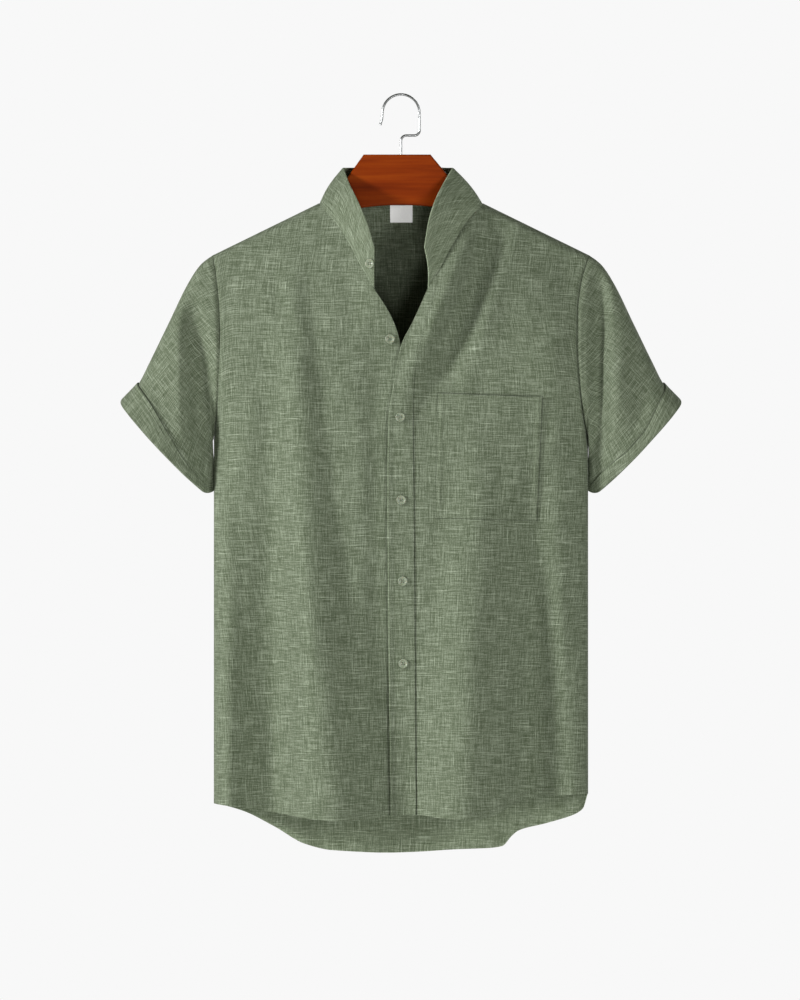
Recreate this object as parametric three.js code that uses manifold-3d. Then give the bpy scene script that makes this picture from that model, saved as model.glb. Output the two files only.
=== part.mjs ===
// A short-sleeved shirt with a mandarin collar, hanging from a wooden hanger with a wire hook.
// Millimetres, +Z up. The shirt faces -Y, and the wearer's left side is +X.
// The origin is inside the crown of the hook, where a rail would touch it.
// Heights in the tables are above a datum at the back hem, and HANG_HEIGHT brings them to the origin.
import * as THREE from "three";
import { mergeVertices } from "three/addons/utils/BufferGeometryUtils.js";
import Module from "manifold-3d";

// Overall sizes
const HANG_HEIGHT = 870;
const HALF_CHEST = 215.6;
const NECK = { x: 93.7, h: 746.3 };
const COLLAR_END = { x: 31, h: 646 };
const SHOULDER_SLOPE = 0.49;
const SHOULDER_TIP = 217;
const ARMPIT_HEIGHT = 475;
const FRONT_DEPTH = 52;
const BACK_DEPTH = 46;

// Cloth and gaps
const CLOTH = 1.2;
const SEAM_GAP = 0.4;
const BAND_CLOTH = 1;
const COLLAR_CLOTH = 1.5;
const CUFF_CLOTH = 2;
const LAY_GAP = 0.3;
const BAND_LIFT = LAY_GAP + BAND_CLOTH + 0.1;
const UNDERLAP = { drop: 4.1, fromX: -52, fullX: -24, fullH: 596, topH: 620 };

// How the cloth falls from the hanger: round over its arm, then spreading out to the chest
const RIDGE_RADIUS = 9.5;
const DRAPE_FALL = { front: 170, back: 140 };
const SIDE_ROUNDNESS = 2.6;
const RIDGE_ROUNDNESS = 6;
const ARM_ROOM = 26;
const ARM_ROOM_RISE = 90;
const FOLD_FADE = 18;

const shoulderHeight = (x) => NECK.h - SHOULDER_SLOPE * (Math.abs(x) - NECK.x);

// The fronts' open edges and, beside each, the line where its folded band is stitched down
const LEFT_EDGE = [
  { h: 30, x: -12 }, { h: 200, x: -14 }, { h: 424, x: -15.6 }, { h: 496, x: -14.4 },
  { h: 542, x: -7.7 }, { h: 581, x: 0 }, { h: 609, x: 13.6 }, { h: COLLAR_END.h, x: COLLAR_END.x },
];
const LEFT_BAND = [
  { h: 30, x: 18.5 }, { h: 200, x: 17 }, { h: 443, x: 15 }, { h: 500, x: 14.4 },
  { h: 546, x: 16 }, { h: 581, x: 22 }, { h: 620, x: 34 }, { h: 671, x: 45.3 },
];
const RIGHT_EDGE = [
  { h: 30, x: 15 }, { h: 500, x: 14 }, { h: 545, x: 10.5 }, { h: 581, x: 0 },
  { h: 598, x: -4.5 }, { h: 612, x: -10 }, { h: 630, x: -20 }, { h: COLLAR_END.h, x: -COLLAR_END.x },
];
const RIGHT_BAND = [
  { h: 30, x: -16 }, { h: 500, x: -17 }, { h: 545, x: -20 }, { h: 581, x: -26 },
  { h: 620, x: -36 }, { h: 671, x: -45.3 },
];
// The front neckline, from the collar's end up to the neck point, where it turns over the hanger's arm
const FRONT_NECKLINE = [
  { along: 0, ...COLLAR_END }, { along: 0.22, x: 45.3, h: 671 }, { along: 0.45, x: 59, h: 697 },
  { along: 0.66, x: 74, h: 721 }, { along: 0.82, x: 85, h: 734 }, { along: 0.91, x: 90.4, h: 739.2 },
  { along: 0.965, x: 93.1, h: 743.6 }, { along: 1, x: NECK.x, h: NECK.h },
];
// The back neckline, from the centre back to the neck point
const BACK_NECKLINE = [
  { along: 0, x: 0, h: 746 }, { along: 0.6, x: 60, h: 745.5 }, { along: 0.82, x: 81, h: 742 },
  { along: 0.92, x: 89.5, h: 742 }, { along: 0.97, x: 92.8, h: 743.8 }, { along: 1, x: NECK.x, h: NECK.h },
];
const FRONT_HEM = [
  { x: -HALF_CHEST, h: 55 }, { x: -180, h: 50 }, { x: -135, h: 43 }, { x: -95, h: 37.5 },
  { x: -60, h: 35.5 }, { x: -12, h: 41.5 }, { x: 15, h: 42.5 }, { x: 55, h: 38 },
  { x: 84, h: 37 }, { x: 100, h: 39.5 }, { x: 118, h: 48 }, { x: 134, h: 57 },
  { x: 163, h: 63.5 }, { x: HALF_CHEST, h: 66 },
];
const BACK_HEM = [
  { x: -HALF_CHEST, h: 55 }, { x: -181, h: 44 }, { x: -144, h: 25.4 }, { x: -112, h: 7 },
  { x: -80, h: -1 }, { x: -23, h: -4 }, { x: 66, h: 0 }, { x: 98, h: 1 },
  { x: 117, h: 3.6 }, { x: 128, h: 15.5 }, { x: 137, h: 22.5 }, { x: 169, h: 31 },
  { x: 198, h: 40 }, { x: 210, h: 48 }, { x: HALF_CHEST, h: 66 },
];
// Where the armhole seams run, seen from the front; left and right are the wearer's
const ARMHOLE = [
  { h: ARMPIT_HEIGHT, left: HALF_CHEST, right: HALF_CHEST },
  { h: 500, left: 210, right: 213 },
  { h: 540, left: 205, right: 210.5 },
  { h: 585, left: 202.5, right: 209 },
  { h: 620, left: 203, right: 209.5 },
  { h: 655, left: 207.5, right: 212.5 },
  { h: shoulderHeight(SHOULDER_TIP), left: SHOULDER_TIP, right: SHOULDER_TIP },
];

// Folds run from a top to a low end. A positive rise stands out of the cloth and a negative one sinks in.
// One that is open runs off the hem, and the others fade out at both ends.
const FRONT_FOLDS = [
  { topX: -203, topH: 400, lowX: -200, lowH: 50, topHalf: 18, lowHalf: 28, rise: 6.5, open: true },
  { topX: -152, topH: 520, lowX: -154, lowH: 45, topHalf: 32, lowHalf: 48, rise: -12.5, open: true },
  { topX: -134, topH: 690, lowX: -66, lowH: 36, topHalf: 24, lowHalf: 70, rise: 16.5, open: true },
  { topX: -4, topH: 400, lowX: 0, lowH: 40, topHalf: 50, lowHalf: 72, rise: -7.5, open: true },
  { topX: 98, topH: 560, lowX: 82, lowH: 38, topHalf: 34, lowHalf: 72, rise: 16.5, open: true },
  { topX: 154, topH: 580, lowX: 162, lowH: 60, topHalf: 26, lowHalf: 40, rise: -13, open: true },
  { topX: 207, topH: 340, lowX: 207, lowH: 66, topHalf: 24, lowHalf: 30, rise: 5.5, open: true },
  { topX: 170, topH: 690, lowX: 168, lowH: 420, topHalf: 50, lowHalf: 56, rise: 5, open: false },
  { topX: 99, topH: 762, lowX: -29, lowH: 450, topHalf: 22, lowHalf: 28, rise: 11, open: false },
  { topX: -42, topH: 720, lowX: 2, lowH: 520, topHalf: 34, lowHalf: 48, rise: 5, open: false },
  { topX: -130, topH: 715, lowX: -104, lowH: 400, topHalf: 20, lowHalf: 34, rise: 6, open: false },
  { topX: 229, topH: 690, lowX: 227, lowH: 400, topHalf: 16, lowHalf: 18, rise: -12, open: false },
  { topX: 240, topH: 600, lowX: 250, lowH: 430, topHalf: 24, lowHalf: 40, rise: 8, open: false },
  { topX: -245, topH: 675, lowX: -207, lowH: 370, topHalf: 20, lowHalf: 36, rise: -13, open: false },
  { topX: -238, topH: 560, lowX: -208, lowH: 360, topHalf: 24, lowHalf: 36, rise: -9, open: false },
];
const BACK_FOLDS = [
  { topX: -170, topH: 420, lowX: -178, lowH: 45, topHalf: 22, lowHalf: 32, rise: 5, open: true },
  { topX: -112, topH: 380, lowX: -118, lowH: 8, topHalf: 26, lowHalf: 36, rise: -6, open: true },
  { topX: -52, topH: 520, lowX: -48, lowH: -4, topHalf: 26, lowHalf: 42, rise: 7, open: true },
  { topX: 30, topH: 430, lowX: 24, lowH: -2, topHalf: 24, lowHalf: 40, rise: -6, open: true },
  { topX: 86, topH: 560, lowX: 94, lowH: 0, topHalf: 24, lowHalf: 38, rise: 6, open: true },
  { topX: 150, topH: 400, lowX: 158, lowH: 26, topHalf: 22, lowHalf: 32, rise: -5, open: true },
  { topX: 238, topH: 670, lowX: 230, lowH: 400, topHalf: 14, lowHalf: 22, rise: -9, open: false },
  { topX: -236, topH: 670, lowX: -228, lowH: 400, topHalf: 14, lowHalf: 20, rise: -8, open: false },
];

// Sleeve sections from the armhole down to the folded end: the upper and lower outline points and the depths
const SLEEVE = [
  {
    along: 0, topX: SHOULDER_TIP, topH: shoulderHeight(SHOULDER_TIP), lowX: HALF_CHEST, lowH: ARMPIT_HEIGHT,
    front: 31, back: 27,
  },
  { along: 0.08, topX: 230.5, topH: 675.5, lowX: 219.3, lowH: 467, front: 33, back: 29 },
  { along: 0.2, topX: 244.5, topH: 655, lowX: 218.6, lowH: 457, front: 36, back: 32 },
  { along: 0.45, topX: 267.5, topH: 608, lowX: 217.8, lowH: 446, front: 38, back: 34 },
  { along: 0.75, topX: 291, topH: 560, lowX: 218.4, lowH: 430, front: 37, back: 34 },
  { along: 0.88, topX: 302, topH: 539, lowX: 223.4, lowH: 421, front: 36, back: 33 },
  { along: 1, topX: 319.5, topH: 516.5, lowX: 230, lowH: 410, front: 35, back: 32 },
];
// How wide the turned-up cuff shows round the sleeve, from its upper outline to its lower one
const CUFF_WIDTH = [
  { round: 0, left: 17, right: 17 }, { round: 0.3, left: 12, right: 18.5 },
  { round: 0.43, left: 8.5, right: 16 }, { round: 0.55, left: 9, right: 12.5 },
  { round: 0.65, left: 13, right: 9.5 }, { round: 0.8, left: 16, right: 7.5 },
  { round: 1, left: 12, right: 7.5 },
];
const HEM_BULGE = 5.5;
// The sleeve's end is rounded off at its upper and lower corners
const CORNER = { top: 4, low: 6 };
const CUFF_FLARE = 2.6;
const CUFF_LIFT = CUFF_CLOTH - 0.1;
const CUFF_DROP = 1.2;

// The collar from the centre back to its front end: its top edge, left and right being the wearer's,
// and how far round the neck seam that place is
const COLLAR = [
  { along: 0, left: 0, right: 0, y: 33, h: 789 },
  { along: 0.2, left: 29, right: 29, y: 30.5, h: 789 },
  { along: 0.38, left: 51, right: 52, y: 20, h: 788 },
  { along: 0.48, left: 59.5, right: 66.5, y: 1, h: 787.5 },
  { along: 0.6, left: 49.5, right: 60.5, y: -20, h: 770 },
  { along: 0.75, left: 39, right: 50, y: -37, h: 748 },
  { along: 0.88, left: 31.5, right: 39.5, y: -48, h: 723 },
  { along: 1, left: 27, right: 31, y: -54, h: 694 },
];
const COLLAR_NECK_SHARE = 0.48;
const COLLAR_BOW = 3;
const COLLAR_SEAM_GAP = 0.95;

const POCKET = {
  topLeft: [42.5, 527], topRight: [163, 523], lowRight: [156.5, 380], lowLeft: [39, 383], lift: 0.95, lines: 9,
};
const BUTTON = { radius: 5.6, thick: 2.2, rim: 1.1, dish: 0.6, sides: 16 };
const FRONT_BUTTONS = [
  { name: "button_1", x: -12.5, h: 589, on: "right" },
  { name: "button_2", x: -1, h: 499.5, on: "band" },
  { name: "button_3", x: 0.4, h: 404, on: "band" },
  { name: "button_4", x: 2, h: 311, on: "band" },
  { name: "button_5", x: 2.8, h: 216.5, on: "band" },
];
const COLLAR_BUTTON = { along: 0.96, up: 0.42 };
const BUTTON_GAP = 0.4;
const HOLLOW_UNDER_BUTTON = 1.55;
const LABEL = { x: 0.3, width: 26.5, height: 19.5, thick: 0.5, top: 744.8 };

const HANGER = {
  thick: 12, bevel: 4, round: 4.5, topLeft: 34, topRight: 43, top: 802, footLeft: 75, footRight: 80,
  under: 2.7, tip: 201, tipRadius: 11, middleDrop: 744, shoulderDrop: 739.5, shoulderX: 52,
  holeDepth: 22, holeRadius: 1.75,
};
const WIRE = { radius: 1.4, rise: 818, jog: 824, out: 21.4, crown: 850, bend: 6, tail: 14, steps: 52 };

const clamp = (t) => Math.min(1, Math.max(0, t));
const lerp = (a, b, t) => a + (b - a) * t;
const smooth = (from, to, t) => {
  const k = clamp((t - from) / (to - from));
  return k * k * (3 - 2 * k);
};

// A smooth curve through the rows of a table that doesn't overshoot them: column `of` where column `at` is t
function through(rows, at, of) {
  const steps = rows.slice(1).map((r, i) => (r[of] - rows[i][of]) / (r[at] - rows[i][at]));
  const slopes = rows.map((_, i) => {
    const before = steps[Math.max(i - 1, 0)];
    const after = steps[Math.min(i, steps.length - 1)];
    return before * after <= 0 ? 0 : (2 * before * after) / (before + after);
  });
  return (t) => {
    let i = 0;
    while (i < rows.length - 2 && t > rows[i + 1][at]) i++;
    const span = rows[i + 1][at] - rows[i][at];
    const k = clamp((t - rows[i][at]) / span);
    const rise = k * k * (3 - 2 * k);
    const bend = span * (k * (1 - k) ** 2 * slopes[i] - k * k * (1 - k) * slopes[i + 1]);
    return rows[i][of] + (rows[i + 1][of] - rows[i][of]) * rise + bend;
  };
}

// How far all the folds of a table stand out at a place seen from the front
function foldRise(folds, x, h) {
  let rise = 0;
  for (const f of folds) {
    const down = (f.topH - h) / (f.topH - f.lowH);
    if (down <= 0 || (down > 1 && !f.open)) continue;
    const along = Math.min(down, 1);
    const strength = f.open ? smooth(0, 0.85, along) : Math.sin(Math.PI * along ** 0.8) ** 2;
    const across = (x - lerp(f.topX, f.lowX, along)) / lerp(f.topHalf, f.lowHalf, along);
    if (Math.abs(across) < 1) rise += f.rise * strength * Math.cos((Math.PI / 2) * across) ** 2;
  }
  return rise;
}

// Half the width that the cloth would close at, which leaves room for the sleeve above the armpit
const closingHalf = (h) => HALF_CHEST + ARM_ROOM * smooth(ARMPIT_HEIGHT, ARMPIT_HEIGHT + ARM_ROOM_RISE, h);

// How far the body stands in front of or behind the seams' plane, without its folds
function plainDepth(face, x, h) {
  const depth = face === "front" ? FRONT_DEPTH : BACK_DEPTH;
  const below = shoulderHeight(x) - h;
  const over = 1 - clamp(below / RIDGE_RADIUS);
  const ridge = RIDGE_RADIUS * Math.sqrt(1 - over * over);
  const spread = (depth - RIDGE_RADIUS) * Math.sin((Math.PI / 2) * clamp(below / DRAPE_FALL[face]));
  const out = Math.min(1, Math.abs(x) / closingHalf(h));
  const closing = (roundness) => (1 - out ** roundness) ** (1 / roundness);
  return ridge * closing(RIDGE_ROUNDNESS) + spread * closing(SIDE_ROUNDNESS);
}

// A point on the outside of the cloth, from its plain depth and the folds of that face
function clothPoint(face, x, h, plain, sink = 0) {
  const folds = face === "front" ? FRONT_FOLDS : BACK_FOLDS;
  const depth = plain + foldRise(folds, x, h) * clamp(plain / FOLD_FADE) - sink;
  return new THREE.Vector3(x, face === "front" ? -depth : depth, h - HANG_HEIGHT);
}

const bodyPoint = (face, x, h, sink = 0) => clothPoint(face, x, h, plainDepth(face, x, h), sink);

// The direction out of the body's cloth, with its folds
function clothNormal(face, x, h) {
  const step = 2;
  const across = bodyPoint(face, x + step, h).sub(bodyPoint(face, x - step, h));
  const up = bodyPoint(face, x, h + step).sub(bodyPoint(face, x, h - step));
  const normal = face === "front" ? across.cross(up) : up.cross(across);
  return normal.normalize();
}

// A point of the front panels, moved straight out of the cloth
function liftedPoint(x, h, lift, sink = 0) {
  return bodyPoint("front", x, h, sink).addScaledVector(clothNormal("front", x, h), lift);
}

// The right front sinks where the left front and its band lie over it
const underlapSink = (x, h) =>
  UNDERLAP.drop *
  smooth(UNDERLAP.fromX, UNDERLAP.fullX, x) *
  (1 - smooth(UNDERLAP.fullH, UNDERLAP.topH, h));

const frontHem = through(FRONT_HEM, "x", "h");
const backHem = through(BACK_HEM, "x", "h");
const neckline = {};
for (const [face, rows] of [["front", FRONT_NECKLINE], ["back", BACK_NECKLINE]]) {
  const [x, h] = [through(rows, "along", "x"), through(rows, "along", "h")];
  neckline[face] = (along) => [x(along), h(along)];
}
const armholeX = { left: through(ARMHOLE, "h", "left"), right: through(ARMHOLE, "h", "right") };
const tipHeight = shoulderHeight(SHOULDER_TIP);
const signOf = { left: 1, right: -1 };

// Armhole places: round is 0 at the shoulder tip and 1 at the armpit
const armholeHeight = (round) => lerp(tipHeight, ARMPIT_HEIGHT, (1 - Math.cos(Math.PI * round)) / 2);
const armholeRound = (h) => Math.acos(1 - 2 * clamp((tipHeight - h) / (tipHeight - ARMPIT_HEIGHT))) / Math.PI;
const SEAM_END = 0.001;
const atSeamEnd = (round) => round < SEAM_END || round > 1 - SEAM_END;

// The way that the sleeve points at its end, seen from the front
const SLEEVE_WAY = { x: 0.75, h: -0.66 };
const sleeveColumns = {};
for (const column of ["topX", "topH", "lowX", "lowH", "front", "back"])
  sleeveColumns[column] = through(SLEEVE, "along", column);

// How far a rounded corner draws back at a distance from the corner
const drawnBack = (radius, distance) => {
  const rest = Math.max(radius - distance, 0);
  return radius - Math.sqrt(radius * radius - rest * rest);
};

// A point on the outside of a sleeve; moved pushes it out of the cloth
function sleevePoint(side, face, along, round, moved = 0) {
  const section = (w) => {
    const at = {};
    for (const [column, value] of Object.entries(sleeveColumns)) at[column] = value(w);
    const share = (1 + Math.cos(Math.PI * round)) / 2;
    const length = Math.hypot(at.topX - at.lowX, at.topH - at.lowH);
    const corners = drawnBack(CORNER.low, share * length) + drawnBack(CORNER.top, (1 - share) * length);
    const bulge = HEM_BULGE * w ** 3 * Math.sin(Math.PI * round) - corners * w ** 8;
    return {
      x: lerp(at.lowX, at.topX, share) + SLEEVE_WAY.x * bulge,
      h: lerp(at.lowH, at.topH, share) + SLEEVE_WAY.h * bulge,
      depth: at[face] * Math.sin(Math.PI * round),
    };
  };
  const here = section(along);
  const start = section(0);
  const h = armholeHeight(round);
  const x = armholeX[side](h);
  const seam = 1 - smooth(0, 0.5, along);
  const plain = here.depth + (plainDepth(face, x, h) - start.depth) * seam;
  const point = clothPoint(
    face,
    signOf[side] * (here.x + (x - start.x) * seam),
    here.h + (h - start.h) * seam,
    Math.max(plain, 0),
  );
  if (moved) point.addScaledVector(sleeveNormal(side, face, along, round), moved);
  return point;
}

// The direction out of the sleeve's cloth
function sleeveNormal(side, face, along, round) {
  const step = 0.01;
  const w = Math.max(along, 0.02);
  const k = clamp(round);
  const down = sleevePoint(side, face, Math.min(w + step, 1), k).sub(sleevePoint(side, face, w - step, k));
  const [a, b] = [Math.max(k - step, 0), Math.min(k + step, 1)];
  const about = sleevePoint(side, face, w, b).sub(sleevePoint(side, face, w, a));
  const normal = down.cross(about).normalize();
  const turned = signOf[side] * (face === "front" ? 1 : -1);
  normal.multiplyScalar(-turned);
  if (atSeamEnd(round)) normal.y = 0;
  return normal.normalize();
}

// The direction out of the body's cloth beside the armhole
function bodyNormal(side, face, round) {
  const h = armholeHeight(round);
  const x = armholeX[side](h);
  if (round < SEAM_END) return new THREE.Vector3(signOf[side] * SHOULDER_SLOPE, 0, 1).normalize();
  if (round > 1 - SEAM_END) return new THREE.Vector3(signOf[side], 0, 0);
  const step = 0.5;
  const slopeX = (plainDepth(face, x, h) - plainDepth(face, x - step, h)) / step;
  const slopeH = (plainDepth(face, x, h + step) - plainDepth(face, x, h - step)) / (2 * step);
  return new THREE.Vector3(-slopeX * signOf[side], face === "front" ? -1 : 1, -slopeH).normalize();
}

// The direction shared by both walls at the armhole seam, so that their cut edges stay apart
function armholeMitre(side, face, round) {
  const body = bodyNormal(side, face, round);
  const sleeve = sleeveNormal(side, face, 0, round);
  const sum = body.clone().add(sleeve).normalize();
  return sum.divideScalar(Math.max(sum.dot(body), 0.6));
}

// A closed wall from rows of outside points. The thickness lies along the cloth's own normal, or along
// what edge(i, j) gives for a point on a seam. A wrapped wall closes on itself round each row.
function wall(rows, thickness, { wrap = false, flip = false, edge = () => null } = {}) {
  const across = rows[0].length;
  const at = (i, j) => rows[i][wrap ? (j + across) % across : Math.min(Math.max(j, 0), across - 1)];
  const last = rows.length - 1;
  const inner = rows.map((row, i) =>
    row.map((point, j) => {
      const up = at(Math.min(i + 1, last), j).clone().sub(at(Math.max(i - 1, 0), j));
      const side = at(i, j + 1).clone().sub(at(i, j - 1));
      const normal = side.cross(up).normalize().multiplyScalar(flip ? -1 : 1);
      return point.clone().addScaledVector(edge(i, j) || normal, -thickness);
    }),
  );
  const position = [];
  const push = (a, b, c) => {
    const points = flip ? [a, c, b] : [a, b, c];
    for (const p of points) position.push(p.x, p.y, p.z);
  };
  const quad = (a, b, c, d) => {
    push(a, b, c);
    push(a, c, d);
  };
  const columns = wrap ? across : across - 1;
  const next = (j) => (j + 1) % across;
  for (let i = 0; i < last; i++)
    for (let j = 0; j < columns; j++) {
      quad(rows[i][j], rows[i][next(j)], rows[i + 1][next(j)], rows[i + 1][j]);
      quad(inner[i][j], inner[i + 1][j], inner[i + 1][next(j)], inner[i][next(j)]);
    }
  for (let j = 0; j < columns; j++) {
    quad(rows[0][next(j)], rows[0][j], inner[0][j], inner[0][next(j)]);
    quad(rows[last][j], rows[last][next(j)], inner[last][next(j)], inner[last][j]);
  }
  if (!wrap)
    for (let i = 0; i < last; i++) {
      quad(rows[i][0], rows[i + 1][0], inner[i + 1][0], inner[i][0]);
      quad(rows[i + 1][across - 1], rows[i][across - 1], inner[i][across - 1], inner[i + 1][across - 1]);
    }
  const geometry = new THREE.BufferGeometry();
  geometry.setAttribute("position", new THREE.Float32BufferAttribute(position, 3));
  return geometry;
}

// A flat patch between four boundary curves, each giving [x, h] for a share from 0 to 1
function patch({ low, top, near, far }, s, v) {
  const corner = [low(0), low(1), top(0), top(1)];
  return [0, 1].map(
    (k) =>
      lerp(low(s)[k], top(s)[k], v) + lerp(near(v)[k], far(v)[k], s) -
      lerp(lerp(corner[0][k], corner[1][k], s), lerp(corner[2][k], corner[3][k], s), v),
  );
}

// Rows are close together over the hanger's arm, where the cloth turns tightly
const ROWS = [
  0, 0.04, 0.1, 0.17, 0.25, 0.33, 0.41, 0.49, 0.56, 0.63, 0.69, 0.74, 0.79, 0.83, 0.87, 0.91, 0.945,
  0.97, 0.984, 0.9915, 0.9955, 0.9985, 1,
];
// Columns are close together at the neck point and at the side seam, where the cloth turns
const NECK_TURN = 0.3;
const FRONT_COLUMNS = [
  0, 0.09, 0.17, 0.23, 0.265, 0.288, NECK_TURN, 0.37, 0.46, 0.55, 0.64, 0.73, 0.82, 0.89, 0.94, 0.975, 1,
];
const BACK_NECK_TURN = 0.42;
const BACK_COLUMNS = [
  0, 0.12, 0.23, 0.32, 0.375, 0.405, BACK_NECK_TURN, 0.49, 0.58, 0.66, 0.74, 0.82, 0.89, 0.94, 0.975, 1,
];
const BAND_COLUMNS = [0, 0.5];
const BAND_NECK_SHARE = 0.22;

const ARMPIT_ROW = 0.69;

// The panel's side from the hem up to the armpit, and then along the armhole to the shoulder tip
function sideCurve(side, hemHeight) {
  return (v) => {
    const h = sideHeight(hemHeight, v);
    return [signOf[side] * (v <= ARMPIT_ROW ? HALF_CHEST : armholeX[side](h)), h];
  };
}

const sideHeight = (hemHeight, v) =>
  v <= ARMPIT_ROW
    ? lerp(hemHeight, ARMPIT_HEIGHT, v / ARMPIT_ROW)
    : lerp(ARMPIT_HEIGHT, tipHeight, (v - ARMPIT_ROW) / (1 - ARMPIT_ROW));

// The seam gap beside the armhole is taken from the sleeve, and at the sides and shoulders from each panel
function onSeam(point, face) {
  if (Math.abs(point.y) < SEAM_GAP / 2) point.y = face === "front" ? -SEAM_GAP / 2 : SEAM_GAP / 2;
  return point;
}

function seamNormal(side, face, x, h) {
  if (h < ARMPIT_HEIGHT) return new THREE.Vector3(signOf[side], 0, 0);
  return armholeMitre(side, face, armholeRound(h));
}

const shoulderNormal = (x) => new THREE.Vector3(Math.sign(x) * SHOULDER_SLOPE, 0, 1).normalize();

// One front: its folded band and the rest of the panel, as [x, h] rows from the open edge to the side
function frontPlan(side, edgeRows, bandRows) {
  const sign = signOf[side];
  const edgeX = through(edgeRows, "h", "x");
  const bandX = through(bandRows, "h", "x");
  const [edgeTop, bandTop] = [edgeRows.at(-1), bandRows.at(-1)];
  const hemAt = (x) => [x, frontHem(x)];
  const edgeLow = hemAt(edgeRows[0].x);
  const bandLow = hemAt(bandRows[0].x);
  const farLow = hemAt(sign * HALF_CHEST);
  const near = (v) => {
    const h = lerp(edgeLow[1], edgeTop.h, v);
    return [v === 0 ? edgeLow[0] : edgeX(h), h];
  };
  const middle = (v) => {
    const h = lerp(bandLow[1], bandTop.h, v);
    return [v === 0 ? bandLow[0] : bandX(h), h];
  };
  const far = sideCurve(side, farLow[1]);
  const onNeckline = (along) => {
    const [x, h] = neckline.front(along);
    return [sign * x, h];
  };
  const bandTopCurve = (s) => onNeckline(BAND_NECK_SHARE * s);
  const mainTop = (s) => {
    if (s <= NECK_TURN) return onNeckline(lerp(BAND_NECK_SHARE, 1, s / NECK_TURN));
    const x = lerp(sign * NECK.x, sign * SHOULDER_TIP, (s - NECK_TURN) / (1 - NECK_TURN));
    return [x, shoulderHeight(x)];
  };
  const hemBetween = (a, b) => (s) => hemAt(lerp(a, b, s));
  const band = { low: hemBetween(edgeLow[0], bandLow[0]), top: bandTopCurve, near, far: middle };
  const main = { low: hemBetween(bandLow[0], farLow[0]), top: mainTop, near: middle, far };
  return ROWS.map((v) => [
    ...BAND_COLUMNS.map((s) => patch(band, s, v)),
    ...FRONT_COLUMNS.map((s) => patch(main, s, v)),
  ]);
}

function frontPanel(side, plan, sink) {
  const rows = plan.map((row) => row.map(([x, h]) => onSeam(bodyPoint("front", x, h, sink(x, h)), "front")));
  const lastColumn = plan[0].length - 1;
  const neckColumn = BAND_COLUMNS.length + FRONT_COLUMNS.indexOf(NECK_TURN);
  const edge = (i, j) => {
    const [x, h] = plan[i][j];
    if (j === lastColumn) return seamNormal(side, "front", x, h);
    if (i === plan.length - 1 && j >= neckColumn) return shoulderNormal(x);
    return clothNormal("front", x, h);
  };
  return wall(rows, CLOTH, { flip: side === "right", edge });
}

function backPanel() {
  const shares = [...BACK_COLUMNS.slice(1).map((s) => -s).reverse(), ...BACK_COLUMNS];
  const far = (side) => sideCurve(side, backHem(signOf[side] * HALF_CHEST));
  const top = (s) => {
    const across = Math.abs(2 * s - 1);
    const sign = Math.sign(2 * s - 1);
    if (across <= BACK_NECK_TURN) {
      const [x, h] = neckline.back(across / BACK_NECK_TURN);
      return [sign * x, h];
    }
    const x = lerp(NECK.x, SHOULDER_TIP, (across - BACK_NECK_TURN) / (1 - BACK_NECK_TURN));
    return [sign * x, shoulderHeight(x)];
  };
  const low = (s) => {
    const x = lerp(-HALF_CHEST, HALF_CHEST, s);
    return [x, backHem(x)];
  };
  const bounds = { low, top, near: far("right"), far: far("left") };
  const plan = ROWS.map((v) => shares.map((s) => patch(bounds, (s + 1) / 2, v)));
  const rows = plan.map((row) => row.map(([x, h]) => onSeam(bodyPoint("back", x, h), "back")));
  const edge = (i, j) => {
    const [x, h] = plan[i][j];
    if (j === 0 || j === shares.length - 1) return seamNormal(x > 0 ? "left" : "right", "back", x, h);
    if (i === plan.length - 1 && Math.abs(shares[j]) >= BACK_NECK_TURN) return shoulderNormal(x);
    return clothNormal("back", x, h);
  };
  return wall(rows, CLOTH, { flip: true, edge });
}

// Places round a sleeve, which stand on the rows of the panels at the armhole: down the front from the
// upper outline and up the back
const ARMHOLE_ROUNDS = ROWS.filter((v) => v >= ARMPIT_ROW)
  .map((v) => armholeRound(sideHeight(0, v)))
  .reverse();
const sleeveTurn = [
  ...ARMHOLE_ROUNDS.map((round) => ({ face: "front", round })),
  ...ARMHOLE_ROUNDS.slice(1, -1).reverse().map((round) => ({ face: "back", round })),
];
const SLEEVE_ROWS = [0, 0.04, 0.1, 0.2, 0.32, 0.45, 0.6, 0.75, 0.88, 1];

function sleeve(side) {
  const rows = SLEEVE_ROWS.map((along) =>
    sleeveTurn.map(({ face, round }) => sleevePoint(side, face, along, round)),
  );
  rows[0] = offSeam(side, rows[0]);
  const edge = (i, j) => {
    const { face, round } = sleeveTurn[j];
    return i === 0 ? armholeMitre(side, face, round) : null;
  };
  return wall(rows, CLOTH, { wrap: true, flip: side === "left", edge });
}

// Moves the sleeve's cut edge square away from the panels' edge by the seam gap
function offSeam(side, ring) {
  return ring.map((point, j) => {
    const { face, round } = sleeveTurn[j];
    const tangent = ring[(j + 1) % ring.length].clone().sub(ring.at(j - 1));
    const away = tangent.cross(armholeMitre(side, face, round)).setLength(SEAM_GAP);
    return point.clone().addScaledVector(away, away.x * signOf[side] < 0 ? -1 : 1);
  });
}

// The turned-up cuff lies round the sleeve's end, a little flared
function cuff(side) {
  const width = through(CUFF_WIDTH, "round", side);
  const shares = [0, 0.33, 0.67, 1];
  const rows = shares.map((share) =>
    sleeveTurn.map(({ face, round }) => {
      const along = 1 - (width(round) / endStretch(side, face, round)) * (1 - share);
      const lift = CUFF_LIFT + CUFF_FLARE * share;
      const point = sleevePoint(side, face, along, round, lift);
      if (share === 1) point.add(cuffDrop(side));
      return point;
    }),
  );
  return wall(rows, CUFF_CLOTH, { wrap: true, flip: side === "left" });
}

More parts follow.
